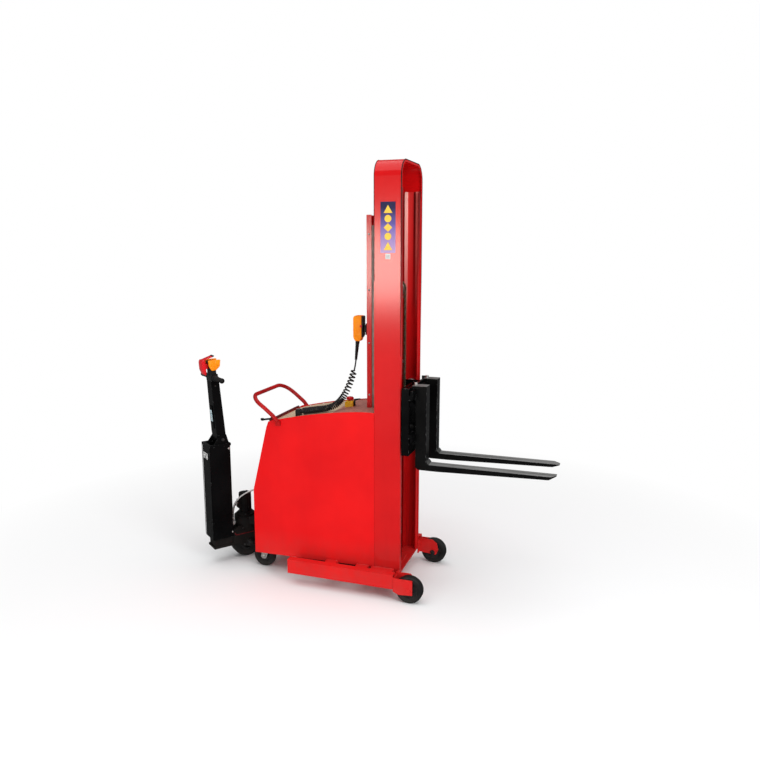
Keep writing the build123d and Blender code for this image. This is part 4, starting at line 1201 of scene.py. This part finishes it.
def stop_button():
    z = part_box("estop_base")[1].z / MM - 32
    knob = Build().lathe(
        [(0, 0), (8, 0), (8, 18), (16, 18), (19, 20), (19.6, 23), (19.4, 27), (17, 30.5),
         (12, 32), (0, 32.6)],
        (STOP_X, 0, z + 20), UP, 40,
    )
    for x, y in circle(20, 19.2):
        knob.tube([(STOP_X + x, y, z + 41), (STOP_X + x, y, z + 47)], 1.1, 6)
    knob.done("stop_knob", "red_plastic", "stop_button", stands_for="estop_button")
    guard = [(18, 0), (21.5, 0), (21.5, 3), (20, 5), (18, 5)]
    collar = Build().lathe(guard, (STOP_X, 0, z + 26), UP, 40)
    collar.done("stop_collar", "yellow_plastic", "chassis")
    lever = Build().box(-313, -306, -8, 8, z + 6, z + 30, 2)
    lever.side([(-312, z + 30), (-312, z + 42), (-278, z + 47), (-276, z + 42)], -5, 5, 2, 2)
    lever.done("stop_reset_lever", "head_plastic", "chassis")


def gland_details():
    start, after = Vector(COIL_ROUTE[0]), Vector(COIL_ROUTE[1])
    nose = Build().lathe(
        [(4.1, -6), (9, -6), (9.6, -4), (9.6, 2), (8.4, 3), (8, 9), (5.2, 12), (4.1, 12)],
        start, after - start, 20,
    )
    nose.done("gland_nut", "head_plastic", "chassis")
    screws = Build()
    for x in (-582, -570):
        for y in (-138, -122):
            screws.screw((x, y, 926.8), UP, 2.4)
    screws.done("gland_screws", "zinc", "chassis")


pendant()
stop_button()
gland_details()


# ---------------- floor, light and camera

def studio():
    """A pale floor that runs into a white surround, soft boxes above and beside the camera."""
    f = Finish("studio_floor", specular=0.1)
    f.join((0.91, 0.91, 0.91, 1), f.shader.inputs["Base Color"])
    f.join(f.patches(3, 0.75, 0.85), f.shader.inputs["Roughness"])
    glow = f.add("ShaderNodeEmission", {"Strength": 1})
    distance = f.add("ShaderNodeVectorMath", {0: f.place}, operation="LENGTH")
    far = f.remap(distance.outputs["Value"], 0.9, 2.7)
    blend = f.add("ShaderNodeMixShader", {0: far, 1: f.shader.outputs[0], 2: glow.outputs[0]})
    f.join(blend.outputs[0], f.tree.nodes["Material Output"].inputs["Surface"])
    bpy.ops.mesh.primitive_plane_add(size=60, location=(0, 0, CAD_BOX[0].z - 0.0005))
    floor = bpy.context.object
    floor.name = "studio_floor"
    floor.data.materials.append(f.material)
    floor.visible_glossy = False

    world = bpy.data.worlds.new("studio")
    bpy.context.scene.world = world
    world.use_nodes = True
    tree = world.node_tree
    seen = tree.nodes["Background"]
    fill = tree.nodes.new("ShaderNodeBackground")
    reflected = tree.nodes.new("ShaderNodeBackground")
    for light, colour, strength in (
        (seen, (1, 1, 1, 1), 1), (fill, (0.97, 0.98, 1, 1), 0.34), (reflected, (1, 1, 1, 1), 0.16),
    ):
        light.inputs["Color"].default_value = colour
        light.inputs["Strength"].default_value = strength
    path = tree.nodes.new("ShaderNodeLightPath")
    shown = fill
    for ray, other in (("Is Glossy Ray", reflected), ("Is Camera Ray", seen)):
        blend = tree.nodes.new("ShaderNodeMixShader")
        tree.links.new(path.outputs[ray], blend.inputs[0])
        tree.links.new(shown.outputs[0], blend.inputs[1])
        tree.links.new(other.outputs[0], blend.inputs[2])
        shown = blend
    tree.links.new(shown.outputs[0], tree.nodes["World Output"].inputs["Surface"])

    # Each lamp lights surfaces, shows in reflections, or does both.
    sheen_at, sheen_on = (FRONT_X - 1.42, -4.25, 1.57), (FRONT_X - 0.1, -0.18, 1.67)
    for name, place, target, wide, high, watts, use in (
        ("top_box", (-0.3, -0.9, 7), (-0.2, 0, 0), 9, 9, 430, "both"),
        ("sheen_box", sheen_at, sheen_on, 1.05, 0.78, 50, "reflections"),
        ("side_box", (-0.9, -3.1, 0.42), (-0.25, -0.18, 0.45), 2.2, 0.7, 25, "surfaces"),
        ("front_box", (3.2, -2.3, 2.7), (0, 0, 1.5), 1.6, 1.6, 80, "both"),
    ):
        lamp = bpy.data.lights.new(name, "AREA")
        lamp.shape = "RECTANGLE"
        lamp.size = wide
        lamp.size_y = high
        lamp.energy = watts
        lamp.color = (1, 0.97, 0.88) if use == "reflections" else (1, 1, 1)
        holder = bpy.data.objects.new(name, lamp)
        holder.location = place
        holder.visible_camera = False
        holder.visible_diffuse = use != "reflections"
        holder.visible_glossy = use != "surfaces"
        aim = Vector(target) - Vector(place)
        holder.rotation_euler = aim.to_track_quat("-Z", "Y").to_euler()
        add_to_scene(holder)
    bpy.context.scene.view_settings.view_transform = "Standard"


def camera():
    """The view from the object's right and a little above, with the forks to the right."""
    look_down, turned = 10.6649, 18.6959
    lens = bpy.data.cameras.new("camera")
    lens.lens = 33.2217
    lens.sensor_width = 36
    eye = bpy.data.objects.new("camera", lens)
    eye.location = (FRONT_X + 0.98319, -3.39928, 1.75842)
    eye.rotation_euler = (radians(90 - look_down), 0, radians(turned))
    add_to_scene(eye)
    bpy.context.scene.camera = eye


studio()
camera()
